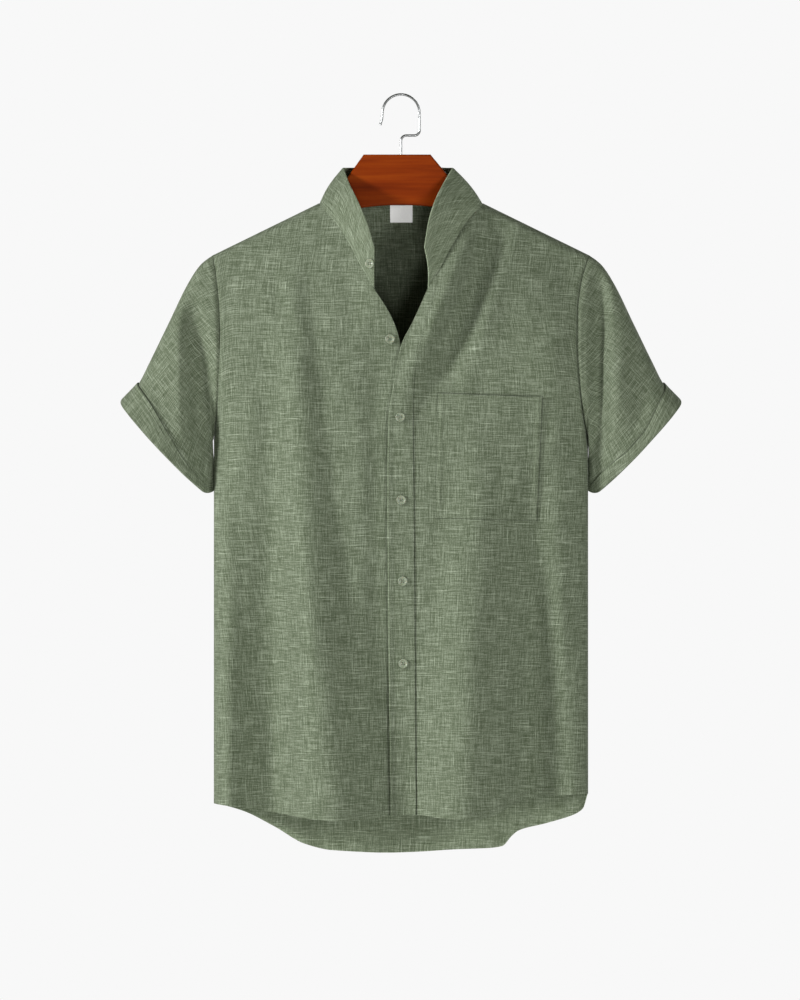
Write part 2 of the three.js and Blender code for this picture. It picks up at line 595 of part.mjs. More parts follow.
// The length of sleeve for each unit of along, near the sleeve's end
function endStretch(side, face, round) {
  const step = 0.1;
  return sleevePoint(side, face, 1, round).distanceTo(sleevePoint(side, face, 1 - step, round)) / step;
}

// The cuff's fold reaches a little past the sleeve's own end, along the sleeve
function cuffDrop(side) {
  return new THREE.Vector3(signOf[side] * SLEEVE_WAY.x, 0, SLEEVE_WAY.h).setLength(CUFF_DROP);
}

const collarY = through(COLLAR, "along", "y");
const collarH = through(COLLAR, "along", "h");
const collarX = { left: through(COLLAR, "along", "left"), right: through(COLLAR, "along", "right") };

// The neck seam: along is 0 at the centre back, and 1 at the collar's front end
function neckSeam(side, along) {
  if (along <= COLLAR_NECK_SHARE) {
    const [x, h] = neckline.back(along / COLLAR_NECK_SHARE);
    return bodyPoint("back", signOf[side] * x, h);
  }
  const [x, h] = neckline.front((1 - along) / (1 - COLLAR_NECK_SHARE));
  return bodyPoint("front", signOf[side] * x, h);
}

// A point on the outside of the collar, up being 0 at the seam and 1 at the top edge
function collarPoint(side, along, up) {
  const seam = neckSeam(side, along);
  const topX = signOf[side] * collarX[side](along);
  const top = new THREE.Vector3(topX, collarY(along), collarH(along) - HANG_HEIGHT);
  const rise = top.clone().sub(seam);
  const start = COLLAR_SEAM_GAP / rise.length();
  const point = seam.clone().addScaledVector(rise, lerp(start, 1, up));
  const outward = new THREE.Vector3(point.x, point.y * 1.4 + 10, 0).normalize();
  return point.addScaledVector(outward, COLLAR_BOW * Math.sin(Math.PI * up) * smooth(0, 0.25, 1 - along));
}

// The collar's columns stand on those of the panels below it
const BACK_NECK_PLACES = BACK_COLUMNS.filter((s) => s <= BACK_NECK_TURN).map((s) => s / BACK_NECK_TURN);
const FRONT_NECK_PLACES = [
  ...BAND_COLUMNS.map((s) => BAND_NECK_SHARE * s),
  ...FRONT_COLUMNS.filter((s) => s < NECK_TURN).map((s) => lerp(BAND_NECK_SHARE, 1, s / NECK_TURN)),
];
const COLLAR_STEPS = [
  ...BACK_NECK_PLACES.map((place) => COLLAR_NECK_SHARE * place),
  ...FRONT_NECK_PLACES.map((place) => 1 - (1 - COLLAR_NECK_SHARE) * place).reverse(),
];

function collar() {
  const places = [
    ...COLLAR_STEPS.slice(1).reverse().map((along) => ({ side: "right", along })),
    ...COLLAR_STEPS.map((along) => ({ side: "left", along })),
  ];
  const rows = [0, 0.3, 0.65, 1].map((up) => places.map(({ side, along }) => collarPoint(side, along, up)));
  const edge = (i, j) => (i === 0 ? seamDirection(places[j].side, places[j].along) : null);
  return wall(rows, COLLAR_CLOTH, { flip: true, edge });
}

// Under the collar its edge is cut square to the panel that it is sewn to
function seamDirection(side, along) {
  const seam = neckSeam(side, along);
  if (along === COLLAR_NECK_SHARE) return shoulderNormal(seam.x);
  return clothNormal(along < COLLAR_NECK_SHARE ? "back" : "front", seam.x, seam.z + HANG_HEIGHT);
}

// A strip of the left front's own points, moved out
function placket(plan) {
  const across = BAND_COLUMNS.length + 1;
  const strip = plan.slice(0, -1).map((row) => row.slice(0, across));
  const rows = strip.map((row) => row.map(([x, h]) => liftedPoint(x, h, BAND_LIFT)));
  return wall(rows, BAND_CLOTH);
}

function pocket() {
  const { topLeft, topRight, lowRight, lowLeft, lift, lines } = POCKET;
  const share = Array.from({ length: lines }, (_, i) => i / (lines - 1));
  const between = (a, b, t) => a.map((value, k) => lerp(value, b[k], t));
  const rows = share.map((v) =>
    share.map((s) => {
      const [x, h] = between(between(lowLeft, lowRight, s), between(topLeft, topRight, s), v);
      return liftedPoint(x, h, lift + BAND_CLOTH);
    }),
  );
  return wall(rows, BAND_CLOTH);
}

function buttonShape() {
  const { radius, thick, rim, dish, sides } = BUTTON;
  const profile = [
    [0, 0], [radius - 0.5, 0], [radius, 0.6], [radius, thick - 0.4], [radius - 0.4, thick],
    [radius - rim, thick], [radius - rim - 0.5, thick - dish], [0, thick - dish],
  ].map(([x, y]) => new THREE.Vector2(x, y));
  return new THREE.LatheGeometry(profile, sides);
}

// A button standing on a surface point, its face along the outward normal
function button(name, point, normal) {
  const mesh = new THREE.Mesh(buttonShape(), finish.button);
  mesh.name = name;
  mesh.quaternion.setFromUnitVectors(new THREE.Vector3(0, 1, 0), normal.clone().normalize());
  mesh.position.copy(point);
  return mesh;
}

function frontButton({ name, x, h, on }) {
  const point = on === "band"
    ? liftedPoint(x, h, BAND_LIFT + BUTTON_GAP)
    : liftedPoint(x, h, BUTTON_GAP + HOLLOW_UNDER_BUTTON, underlapSink(x, h));
  return button(name, point, clothNormal("front", x, h));
}

function collarButton() {
  const { along, up } = COLLAR_BUTTON;
  const at = (da, du) => collarPoint("right", along + da, up + du);
  const across = at(-0.02, 0).sub(at(0.02, 0));
  const rise = at(0, 0.1).sub(at(0, -0.1));
  const normal = rise.cross(across).normalize();
  if (normal.y > 0) normal.negate();
  return button("button_collar", at(0, 0).addScaledVector(normal, BUTTON_GAP + 0.2), normal);
}

// The label hangs inside the back, under the neck seam, on the back's own points moved in
function label() {
  const { x, width, height, thick, top } = LABEL;
  const steps = [0, 0.5, 1];
  const inside = CLOTH + 3 * LAY_GAP;
  const rows = steps.map((v) =>
    steps.map((u) => {
      const [px, h] = [x + width * (u - 0.5), top - height * (1 - v)];
      return bodyPoint("back", px, h).addScaledVector(clothNormal("back", px, h), -inside);
    }),
  );
  return wall(rows, thick, { flip: true });
}

// Seen from the front: a flat-topped block, a little to the wearer's right of the hook, whose arms follow
// the shoulders down to round tips. Left and right are the wearer's.
function hangerShape() {
  const { topLeft, topRight, top, footLeft, footRight, under, tip, tipRadius } = HANGER;
  const { middleDrop, shoulderDrop, shoulderX } = HANGER;
  const armTop = (x) => shoulderHeight(x) - under;
  const upAngle = Math.atan2(1, SHOULDER_SLOPE);
  const tipDrop = tipRadius * Math.hypot(1, SHOULDER_SLOPE);
  const centre = { x: tip - tipRadius, h: armTop(tip - tipRadius) - tipDrop };
  const shape = new THREE.Shape();
  shape.moveTo(0, middleDrop);
  shape.quadraticCurveTo(shoulderX / 2, middleDrop, shoulderX, shoulderDrop);
  shape.absarc(centre.x, centre.h, tipRadius, upAngle - Math.PI, upAngle, false);
  shape.lineTo(footLeft, armTop(footLeft));
  shape.lineTo(topLeft, top);
  shape.lineTo(-topRight, top);
  shape.lineTo(-footRight, armTop(footRight));
  shape.absarc(-centre.x, centre.h, tipRadius, Math.PI - upAngle, 2 * Math.PI - upAngle, false);
  shape.lineTo(-shoulderX, shoulderDrop);
  shape.quadraticCurveTo(-shoulderX / 2, middleDrop, 0, middleDrop);
  return shape;
}

const wasm = await Module();
wasm.setup();

function solidFrom(geometry) {
  const bare = geometry.clone();
  bare.deleteAttribute("normal");
  bare.deleteAttribute("uv");
  const merged = mergeVertices(bare, 1e-4);
  return new wasm.Manifold(
    new wasm.Mesh({
      numProp: 3,
      vertProperties: merged.attributes.position.array,
      triVerts: new Uint32Array(merged.index.array),
    }),
  );
}

function geometryFrom(solid) {
  const mesh = solid.getMesh();
  const geometry = new THREE.BufferGeometry();
  geometry.setAttribute("position", new THREE.BufferAttribute(mesh.vertProperties, 3));
  geometry.setIndex(new THREE.BufferAttribute(mesh.triVerts, 1));
  return geometry;
}

// The wooden body, with the hole that the hook screws into
function hanger() {
  const { thick, bevel, round, top, holeDepth, holeRadius } = HANGER;
  const body = new THREE.ExtrudeGeometry(hangerShape(), {
    depth: thick - 2 * bevel, steps: 1, curveSegments: 6,
    bevelEnabled: true, bevelThickness: bevel, bevelSize: round, bevelOffset: -round, bevelSegments: 3,
  });
  body.translate(0, 0, bevel - thick / 2);
  body.rotateX(Math.PI / 2);
  body.translate(0, 0, -HANG_HEIGHT);
  const hole = new THREE.CylinderGeometry(holeRadius, holeRadius, 2 * holeDepth, 12);
  hole.rotateX(Math.PI / 2);
  hole.translate(0, 0, top - HANG_HEIGHT);
  return geometryFrom(solidFrom(body).subtract(solidFrom(hole)));
}

// The hook's line: up out of the block, sideways, up again and over the rail
function hookLine() {
  const { rise, jog, out, crown, bend, tail } = WIRE;
  const { top, holeDepth } = HANGER;
  const points = [[0, top - holeDepth + LAY_GAP], [0, top], [0, rise - bend / 2]];
  const corner = (x, h, from, to, steps = 4) => {
    for (let k = 0; k <= steps; k++) {
      const angle = lerp(from, to, k / steps);
      points.push([x + bend * Math.cos(angle), h + bend * Math.sin(angle)]);
    }
  };
  corner(bend, jog - bend, Math.PI, Math.PI / 2);
  corner(out - bend, jog + bend, -Math.PI / 2, 0);
  const turns = 16;
  for (let k = 0; k <= turns; k++) {
    const angle = (Math.PI * k) / turns;
    points.push([out * Math.cos(angle), crown + out * Math.sin(angle)]);
  }
  points.push([-out - 0.6, crown - tail / 2], [-out - 2.6, crown - tail]);
  return points.map(([x, h]) => new THREE.Vector3(x, 0, h - HANG_HEIGHT));
}

function hook() {
  const sides = 8;
  const ring = Array.from({ length: sides }, (_, k) => {
    const angle = (2 * Math.PI * k) / sides;
    return new THREE.Vector2(WIRE.radius * Math.cos(angle), WIRE.radius * Math.sin(angle));
  });
  const path = new THREE.CatmullRomCurve3(hookLine(), false, "centripetal");
  const section = new THREE.Shape(ring);
  return new THREE.ExtrudeGeometry(section, { steps: WIRE.steps, extrudePath: path, bevelEnabled: false });
}

const material = (colour, roughness, metalness = 0) =>
  new THREE.MeshStandardMaterial({ color: colour, roughness, metalness });
const finish = {
  cloth: material("#77806c", 0.9),
  wood: material("#81320e", 0.45),
  metal: material("#8f9192", 0.3, 1),
  button: material("#8f9884", 0.35),
  label: material("#b4b6b1", 0.8),
};

const shirt = new THREE.Group();
function add(name, geometry, look) {
  const mesh = new THREE.Mesh(geometry, look);
  mesh.name = name;
  shirt.add(mesh);
}

const leftPlan = frontPlan("left", LEFT_EDGE, LEFT_BAND);
const rightPlan = frontPlan("right", RIGHT_EDGE, RIGHT_BAND);
add("front_left", frontPanel("left", leftPlan, () => 0), finish.cloth);
add("front_right", frontPanel("right", rightPlan, underlapSink), finish.cloth);
add("back", backPanel(), finish.cloth);
for (const side of ["left", "right"]) {
  add(`sleeve_${side}`, sleeve(side), finish.cloth);
  add(`cuff_${side}`, cuff(side), finish.cloth);
}
add("collar", collar(), finish.cloth);
add("placket", placket(leftPlan), finish.cloth);
add("pocket", pocket(), finish.cloth);
add("label", label(), finish.label);
for (const spec of FRONT_BUTTONS) shirt.add(frontButton(spec));
shirt.add(collarButton());
add("hanger", hanger(), finish.wood);
add("hook", hook(), finish.metal);

export default shirt;
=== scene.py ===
"""The looks of a short-sleeved shirt with a mandarin collar, hanging from a wooden hanger.

The shirt hangs from the origin, faces -Y, and the wearer's left side is at +X.
Tables and shapes are in millimetres, with heights above a datum at the back hem, as in the solids.
HANG_HEIGHT brings a height to the frame's Z, and MM brings millimetres to metres.
"""

import math

import bmesh
import bpy
import numpy as np
from mathutils import Matrix, Vector


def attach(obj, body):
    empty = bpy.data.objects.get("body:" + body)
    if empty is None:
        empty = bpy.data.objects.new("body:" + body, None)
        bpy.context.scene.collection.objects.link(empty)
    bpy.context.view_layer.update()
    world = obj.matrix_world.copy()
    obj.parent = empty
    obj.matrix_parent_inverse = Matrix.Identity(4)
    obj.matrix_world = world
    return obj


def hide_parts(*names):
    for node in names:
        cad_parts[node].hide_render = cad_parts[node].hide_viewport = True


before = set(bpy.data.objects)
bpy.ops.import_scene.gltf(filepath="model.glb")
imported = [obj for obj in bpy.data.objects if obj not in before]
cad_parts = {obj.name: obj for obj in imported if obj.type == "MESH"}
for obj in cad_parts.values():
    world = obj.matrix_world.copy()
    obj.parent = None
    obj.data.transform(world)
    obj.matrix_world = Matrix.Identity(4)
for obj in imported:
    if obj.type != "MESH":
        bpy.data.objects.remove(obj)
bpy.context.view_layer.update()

MM = 0.001

# Overall sizes
HANG_HEIGHT = 870
HALF_CHEST = 215.6
NECK_X, NECK_H = 93.7, 746.3
SHOULDER_SLOPE = 0.49
SHOULDER_TIP = 217
ARMPIT_HEIGHT = 475
DEPTH = {"front": 52, "back": 46}
FACING = {"front": -1, "back": 1}
SIGN = {"left": 1, "right": -1}

# Cloth and how its layers lie
PANEL_CLOTH = 0.8
BAND_CLOTH = 0.9
BAND_LIFT = 1.4
POCKET_LIFT = 1.9
COLLAR_CLOTH = 1.5
CUFF_CLOTH = 1.5
RIBBON_CLOTH = 0.45
EDGE_ROUND = 0.3
UNDERLAP_DROP = 4.1
UNDERLAP_X = (-52, -24)
UNDERLAP_H = (596, 620)
SEAM_ALLOWANCE = 10
RIBBON_ALLOWANCE = 1
EDGE_STITCH = 2.2

# How the cloth falls from the hanger's arm and spreads out to the chest
RIDGE_RADIUS = 9.5
DRAPE_FALL = {"front": 170, "back": 140}
SIDE_ROUNDNESS = 2.6
RIDGE_ROUNDNESS = 6
ARM_ROOM = 26
ARM_ROOM_RISE = 90

# Folds, and the relief of sewing, fade out over these depths where front and back meet
FOLD_FADE = 18
RELIEF_FADE = 6

# Widths and lengths by which a share is turned into a distance from an edge
BAND_WIDTH = 29
COLLAR_HEIGHT, COLLAR_HALF_LENGTH = 42, 190
POCKET_WIDTH, POCKET_HEIGHT = 119, 145
SLEEVE_LENGTH = 150


def table(columns, *rows):
    """The named columns of a short table."""
    return dict(zip(columns.split(), np.array(rows, float).T))


# The fronts' open edges and, beside each, the line where its folded band is stitched down
LEFT_EDGE = table("h x", (30, -12), (200, -14), (424, -15.6), (496, -14.4),
                  (542, -7.7), (581, 0), (609, 13.6), (646, 31))
LEFT_BAND = table("h x", (30, 18.5), (200, 17), (443, 15), (500, 14.4),
                  (546, 16), (581, 22), (620, 34), (671, 45.3))
RIGHT_EDGE = table("h x", (30, 15), (500, 14), (545, 10.5), (581, 0),
                   (598, -4.5), (612, -10), (630, -20), (646, -31))
RIGHT_BAND = table("h x", (30, -16), (500, -17), (545, -20), (581, -26), (620, -36), (671, -45.3))
FRONT_NECKLINE = table("along x h", (0, 31, 646), (0.22, 45.3, 671), (0.45, 59, 697), (0.66, 74, 721),
                       (0.82, 85, 734), (0.91, 90.4, 739.2), (0.965, 93.1, 743.6), (1, NECK_X, NECK_H))
BACK_NECKLINE = table("along x h", (0, 0, 746), (0.6, 60, 745.5), (0.82, 81, 742),
                      (0.92, 89.5, 742), (0.97, 92.8, 743.8), (1, NECK_X, NECK_H))
FRONT_HEM = table("x h", (-215.6, 55), (-180, 50), (-135, 43), (-95, 37.5), (-60, 35.5), (-12, 41.5),
                  (15, 42.5), (55, 38), (84, 37), (100, 39.5), (118, 48), (134, 57), (163, 63.5),
                  (215.6, 66))
BACK_HEM = table("x h", (-215.6, 55), (-181, 44), (-144, 25.4), (-112, 7), (-80, -1), (-23, -4),
                 (66, 0), (98, 1), (117, 3.6), (128, 15.5), (137, 22.5), (169, 31), (198, 40),
                 (210, 48), (215.6, 66))
ARMHOLE = table("h left right", (475, 215.6, 215.6), (500, 210, 213), (540, 205, 210.5),
                (585, 202.5, 209), (620, 203, 209.5), (655, 207.5, 212.5), (685.9, 217, 217))

# Broad folds from a top to a low end, which stand out where rise is positive and sink where it is negative.
# One that is open runs off the hem, and the others fade out at both ends. They follow the folds of the
# solids, but some on the front are deeper, reach higher or end up to 16 mm to one side, and one is added.
FOLD = "top_x top_h low_x low_h top_half low_half rise open"
FOLDS = {
    "front": table(
        FOLD,
        (-205, 560, -203, 50, 20, 28, 9, 1),
        (-150, 620, -148, 45, 32, 50, -13.5, 1),
        (-134, 690, -82, 36, 24, 66, 16.5, 1),
        (-4, 400, 0, 40, 50, 72, -7.5, 1),
        (94, 560, 70, 38, 34, 66, 16.5, 1),
        (152, 580, 152, 60, 28, 44, -13, 1),
        (207, 340, 207, 66, 24, 30, 5.5, 1),
        (170, 690, 168, 420, 50, 56, 5, 0),
        (99, 762, -29, 450, 22, 28, 13, 0),
        (128, 762, 6, 440, 28, 34, -10, 0),
        (-42, 720, 2, 520, 34, 48, 5, 0),
        (-130, 715, -104, 400, 20, 34, 6, 0),
        (229, 690, 227, 390, 16, 18, -16, 0),
        (240, 600, 250, 430, 24, 40, 8, 0),
        (-245, 675, -207, 370, 20, 36, -13, 0),
        (-238, 560, -208, 360, 24, 36, -9, 0),
    ),
    "back": table(
        FOLD,
        (-170, 420, -178, 45, 22, 32, 5, 1),
        (-112, 380, -118, 8, 26, 36, -6, 1),
        (-52, 520, -48, -4, 26, 42, 7, 1),
        (30, 430, 24, -2, 24, 40, -6, 1),
        (86, 560, 94, 0, 24, 38, 6, 1),
        (150, 400, 158, 26, 22, 32, -5, 1),
        (238, 670, 230, 400, 14, 22, -9, 0),
        (-236, 670, -228, 400, 14, 20, -8, 0),
    ),
}

# The folds that run off the hem are this many times as deep as their rise says
LOW_FOLD_DEPTH = 1.5

# Creases: soft ridges and troughs along a slightly bowed line, each with its own width
CREASE = "x0 h0 x1 h1 half bow rise"
CREASES = {
    "front": table(
        CREASE,
        (-170, 660, -120, 500, 9, 6, 1.3),
        (-150, 672, -96, 540, 7, -5, -1.1),
        (-196, 560, -130, 470, 8, 5, -1.2),
        (-202, 500, -150, 440, 7, -4, 1.0),
        (-60, 560, -40, 330, 8, 6, 0.9),
        (-110, 380, -96, 190, 9, -4, 1.2),
        (-176, 300, -170, 110, 8, 4, -1.0),
        (-40, 250, -48, 90, 8, 4, 0.9),
        (-120, 160, -124, 60, 7, 3, 1.1),
        (46, 620, 66, 470, 7, 5, -1.0),
        (110, 690, 92, 560, 9, -5, 1.2),
        (168, 640, 130, 540, 8, 5, -1.0),
        (198, 520, 150, 430, 8, 5, 1.0),
        (60, 350, 52, 160, 9, 5, 1.1),
        (120, 330, 128, 150, 8, -5, -1.1),
        (178, 330, 184, 120, 8, 4, 1.2),
        (140, 420, 100, 370, 9, 4, -1.3),
        (34, 180, 40, 60, 7, 3, -0.9),
        (150, 170, 144, 80, 7, 3, 1.0),
        (226, 640, 216, 520, 5, 3, 1.3),
        (250, 620, 244, 470, 7, 5, 1.4),
        (282, 560, 262, 470, 7, 4, -1.3),
        (296, 520, 250, 450, 6, 3, 1.2),
        (-226, 640, -214, 540, 5, 3, 1.2),
        (-252, 600, -250, 470, 7, -5, 1.5),
        (-286, 560, -262, 480, 7, -4, -1.2),
        (-300, 520, -256, 455, 6, -3, 1.1),
        (-224, 470, -246, 428, 6, 3, 1.2),
    ),
    "back": table(
        CREASE,
        (-160, 670, -110, 520, 9, 6, 1.3),
        (150, 676, 104, 530, 9, -6, 1.2),
        (-196, 560, -130, 470, 8, 5, -1.2),
        (196, 560, 140, 480, 8, -5, -1.1),
        (-30, 700, -36, 520, 9, 5, -1.0),
        (40, 690, 52, 500, 8, -5, 1.1),
        (-84, 400, -90, 180, 9, 4, 1.2),
        (-140, 330, -146, 120, 8, -4, -1.0),
        (60, 360, 64, 140, 8, 4, -1.1),
        (124, 340, 130, 130, 9, -4, 1.2),
        (0, 300, -6, 90, 8, 5, 1.0),
        (186, 320, 188, 130, 8, 4, 1.0),
        (-188, 300, -192, 120, 8, 4, 1.0),
        (250, 620, 244, 470, 7, 5, 1.4),
        (288, 560, 262, 470, 7, 4, -1.3),
        (-252, 610, -248, 470, 7, -5, 1.4),
        (-286, 560, -262, 480, 7, -4, -1.2),
    ),
}
RIPPLES = table("wave_x wave_h phase rise", (61, 240, 0.4, 0.22), (-47, 150, 2.1, 0.18),
                (88, -110, 4.0, 0.25), (36, 420, 5.2, 0.12), (29, -95, 1.1, 0.1))

# Sleeve sections from the armhole down to the folded end
SLEEVE = table(
    "along top_x top_h low_x low_h front back",
    (0, 217, 685.9, 215.6, 475, 31, 27),
    (0.08, 230.5, 675.5, 219.3, 467, 33, 29),
    (0.2, 244.5, 655, 216.2, 457, 36, 32),
    (0.45, 267.5, 608, 215.3, 446, 38, 34),
    (0.75, 291, 560, 215.4, 430, 37, 34),
    (0.88, 302, 539, 216.4, 422, 36, 33),
    (1, 319.5, 516.5, 220, 411, 35, 32),
)
SLEEVE_WAY = (0.75, -0.66)
# Below 1 the sleeve stands out farthest above its middle
SLEEVE_CREST = {"front": 0.72, "back": 1}
HEM_BULGE = 5.5
CORNER_LOW, CORNER_TOP = 9, 5
# How wide the turned-up cuff shows round the sleeve, from its upper outline to its lower one
CUFF_WIDTH = table("round left right", (0, 17, 17), (0.3, 12, 18.5), (0.43, 8.5, 16), (0.55, 9, 12.5),
                   (0.65, 13, 9.5), (0.8, 16, 7.5), (1, 12, 7.5))
CUFF_FLARE = 2.6
CUFF_LIFT = 1.9
CUFF_DROP = 1.2
CUFF_TUCK = 14
# The shares of the cuff's rows that lie outside and inside, and how long the outside is for its rounded edge
# and for the painted shade and highlight along that edge
CUFF_OUTER, CUFF_INNER = 0.7, 0.3
CUFF_ROUND_SPAN, CUFF_PAINTED_EDGE_SPAN = 20, 18
# The middle of a sleeve and of a cuff, which their cloth faces away from
SLEEVE_MIDDLE, CUFF_MIDDLE = 262, 275

# The collar's top edge from the centre back to its front end
COLLAR = table(
    "along left right y h",
    (0, 0, 0, 33, 789),
    (0.2, 29, 29, 30.5, 789),
    (0.38, 51, 52, 20, 788),
    (0.48, 59.5, 66.5, 1, 787.5),
    (0.6, 49.5, 60.5, -20, 770),
    (0.75, 39, 50, -37, 748),
    (0.88, 31.5, 39.5, -48, 723),
    (1, 27, 31, -54, 694),
)
COLLAR_NECK_SHARE = 0.48
COLLAR_BOW = 3
COLLAR_WAVE = {"left": 2.2, "right": 0}
BAND_NECK_SHARE = 0.22
NECK_TURN = 0.3
BACK_NECK_TURN = 0.42
ARMPIT_ROW = 0.69

POCKET = table("x h", (39, 383), (156.5, 380), (42.5, 527), (163, 523))
POCKET_MOUTH_HEM = 22
BUTTON_RADIUS = 5.6
BUTTON_THICK = 2.2
FRONT_BUTTONS = table("x h on_band", (-12.5, 589, 0), (-1, 499.5, 1), (0.4, 404, 1), (2, 311, 1),
                      (2.8, 216.5, 1))
COLLAR_BUTTON = (0.96, 0.42)
LABEL = {"x": 0.3, "width": 26.5, "height": 19.5, "top": 744.8}


def clamp(t):
    return np.clip(t, 0, 1)


def lerp(a, b, t):
    return a + (b - a) * t


def smooth(start, end, t):
    k = clamp((t - start) / (end - start))
    return k * k * (3 - 2 * k)


def hill(distance, half):
    """A soft bump of height 1, half its width away at about a third."""
    return np.exp(-((distance / half) ** 2))


def through(rows, at, of):
    """A smooth curve through two columns of a table that doesn't overshoot them."""
    place, value = rows[at], rows[of]
    step = np.diff(value) / np.diff(place)
    before = np.concatenate([step[:1], step])
    after = np.concatenate([step, step[-1:]])
    both = before + after
    slope = np.where(before * after > 0, 2 * before * after / np.where(both == 0, 1, both), 0)

    def curve(t):
        i = np.clip(np.searchsorted(place, t, side="right") - 1, 0, len(place) - 2)
        span = place[i + 1] - place[i]
        k = clamp((t - place[i]) / span)
        rise = k * k * (3 - 2 * k)
        bend = span * (k * (1 - k) ** 2 * slope[i] - k * k * (1 - k) * slope[i + 1])
        return value[i] + (value[i + 1] - value[i]) * rise + bend

    return curve


def unit(vectors):
    return vectors / np.maximum(np.linalg.norm(vectors, axis=-1, keepdims=True), 1e-9)


# The shape of the worn cloth


def shoulder_height(x):
    return NECK_H - SHOULDER_SLOPE * (np.abs(x) - NECK_X)


def fold_rise(folds, x, h):
    """How far the broad folds stand out at a place seen from the front."""
    rise = np.zeros(np.shape(x))
    for top_x, top_h, low_x, low_h, top_half, low_half, size, runs_off in zip(*folds.values()):
        down = (top_h - h) / (top_h - low_h)
        along = clamp(down)
        strength = smooth(0, 0.85, along) if runs_off else np.sin(np.pi * along**0.8) ** 2
        across = (x - lerp(top_x, low_x, along)) / lerp(top_half, low_half, along)
        profile = np.where(np.abs(across) < 1, np.cos(np.pi / 2 * across) ** 2, 0)
        rise += (LOW_FOLD_DEPTH if runs_off else 1) * size * strength * profile
    return rise


def crease_rise(creases, x, h):
    """How far the fine creases stand out, each fading at both ends of its bowed line."""
    rise = np.zeros(np.shape(x))
    for x0, h0, x1, h1, half, bow, size in zip(*creases.values()):
        way_x, way_h = x1 - x0, h1 - h0
        length = math.hypot(way_x, way_h)
        along = ((x - x0) * way_x + (h - h0) * way_h) / length**2
        inside = np.sin(np.pi * clamp(along))
        across = ((x - x0) * way_h - (h - h0) * way_x) / length + bow * inside
        rise += size * inside**0.8 * hill(across, half)
    for wave_x, wave_h, phase, size in zip(*RIPPLES.values()):
        rise += size * np.sin(2 * np.pi * (x / wave_x + h / wave_h) + phase)
    return rise


def plain_depth(face, x, h):
    """How far the body stands in front of or behind the seams' plane, without folds."""
    below = shoulder_height(x) - h
    over = 1 - clamp(below / RIDGE_RADIUS)
    ridge = RIDGE_RADIUS * np.sqrt(1 - over * over)
    fall = clamp(below / DRAPE_FALL[face])
    spread = (DEPTH[face] - RIDGE_RADIUS) * np.sin(np.pi / 2 * fall)
    closing_half = HALF_CHEST + ARM_ROOM * smooth(ARMPIT_HEIGHT, ARMPIT_HEIGHT + ARM_ROOM_RISE, h)
    out = np.minimum(1, np.abs(x) / closing_half)
    ridge_close = (1 - out**RIDGE_ROUNDNESS) ** (1 / RIDGE_ROUNDNESS)
    side_close = (1 - out**SIDE_ROUNDNESS) ** (1 / SIDE_ROUNDNESS)
    return ridge * ridge_close + spread * side_close


def cloth_point(face, x, h, plain, sink=0):
    """A point on the outside of the cloth, from its plain depth and that face's folds and creases."""
    relief = fold_rise(FOLDS[face], x, h) + crease_rise(CREASES[face], x, h)
    depth = plain + relief * clamp(plain / FOLD_FADE) - sink
    return np.stack([x, FACING[face] * depth, h - HANG_HEIGHT], -1)


def body_point(face, x, h, sink=0):
    return cloth_point(face, x, h, plain_depth(face, x, h), sink)


def cloth_normal(face, x, h):
    """The direction out of the body's cloth."""
    step = 2
    across = body_point(face, x + step, h) - body_point(face, x - step, h)
    up = body_point(face, x, h + step) - body_point(face, x, h - step)
    return unit(-FACING[face] * np.cross(across, up))


def lifted_point(x, h, lift, sink=0, face="front"):
    """A point moved straight out of a panel."""
    return body_point(face, x, h, sink) + cloth_normal(face, x, h) * np.asarray(lift)[..., None]


def underlap_sink(x, h):
    """The right front sinks where the left front and its band lie over it."""
    return UNDERLAP_DROP * smooth(*UNDERLAP_X, x) * (1 - smooth(*UNDERLAP_H, h))


hem_height = {"front": through(FRONT_HEM, "x", "h"), "back": through(BACK_HEM, "x", "h")}
armhole_x = {side: through(ARMHOLE, "h", side) for side in SIGN}
neckline = {
    face: [through(rows, "along", column) for column in ("x", "h")]
    for face, rows in (("front", FRONT_NECKLINE), ("back", BACK_NECKLINE))
}
tip_height = shoulder_height(SHOULDER_TIP)


def on_neckline(face, sign, along):
    x, h = neckline[face]
    return np.stack([sign * x(along), h(along)], -1)


def patch(low, top, near, far, s, v):
    """A flat patch between four boundary curves, for shares s across and v up."""
    zero, one = np.zeros(np.shape(s)), np.ones(np.shape(s))
    across, up = s[..., None], v[..., None]
    corners = lerp(lerp(low(zero), low(one), across), lerp(top(zero), top(one), across), up)
    return lerp(low(s), top(s), up) + lerp(near(v), far(v), across) - corners


def hem_line(face, x_from, x_to):
    """A stretch of a hem, seen from the front."""

    def line(s):
        x = lerp(x_from, x_to, s)
        return np.stack([x, hem_height[face](x)], -1)

    return line


def side_curve(side, low_height):
    """The panel's side from the hem to the armpit, and then along the armhole to the shoulder tip."""

    def curve(v):
        below = lerp(low_height, ARMPIT_HEIGHT, v / ARMPIT_ROW)
        above = lerp(ARMPIT_HEIGHT, tip_height, (v - ARMPIT_ROW) / (1 - ARMPIT_ROW))
        h = np.where(v <= ARMPIT_ROW, below, above)
        x = np.where(v <= ARMPIT_ROW, HALF_CHEST, armhole_x[side](h))
        return np.stack([SIGN[side] * x, h], -1)

    return curve


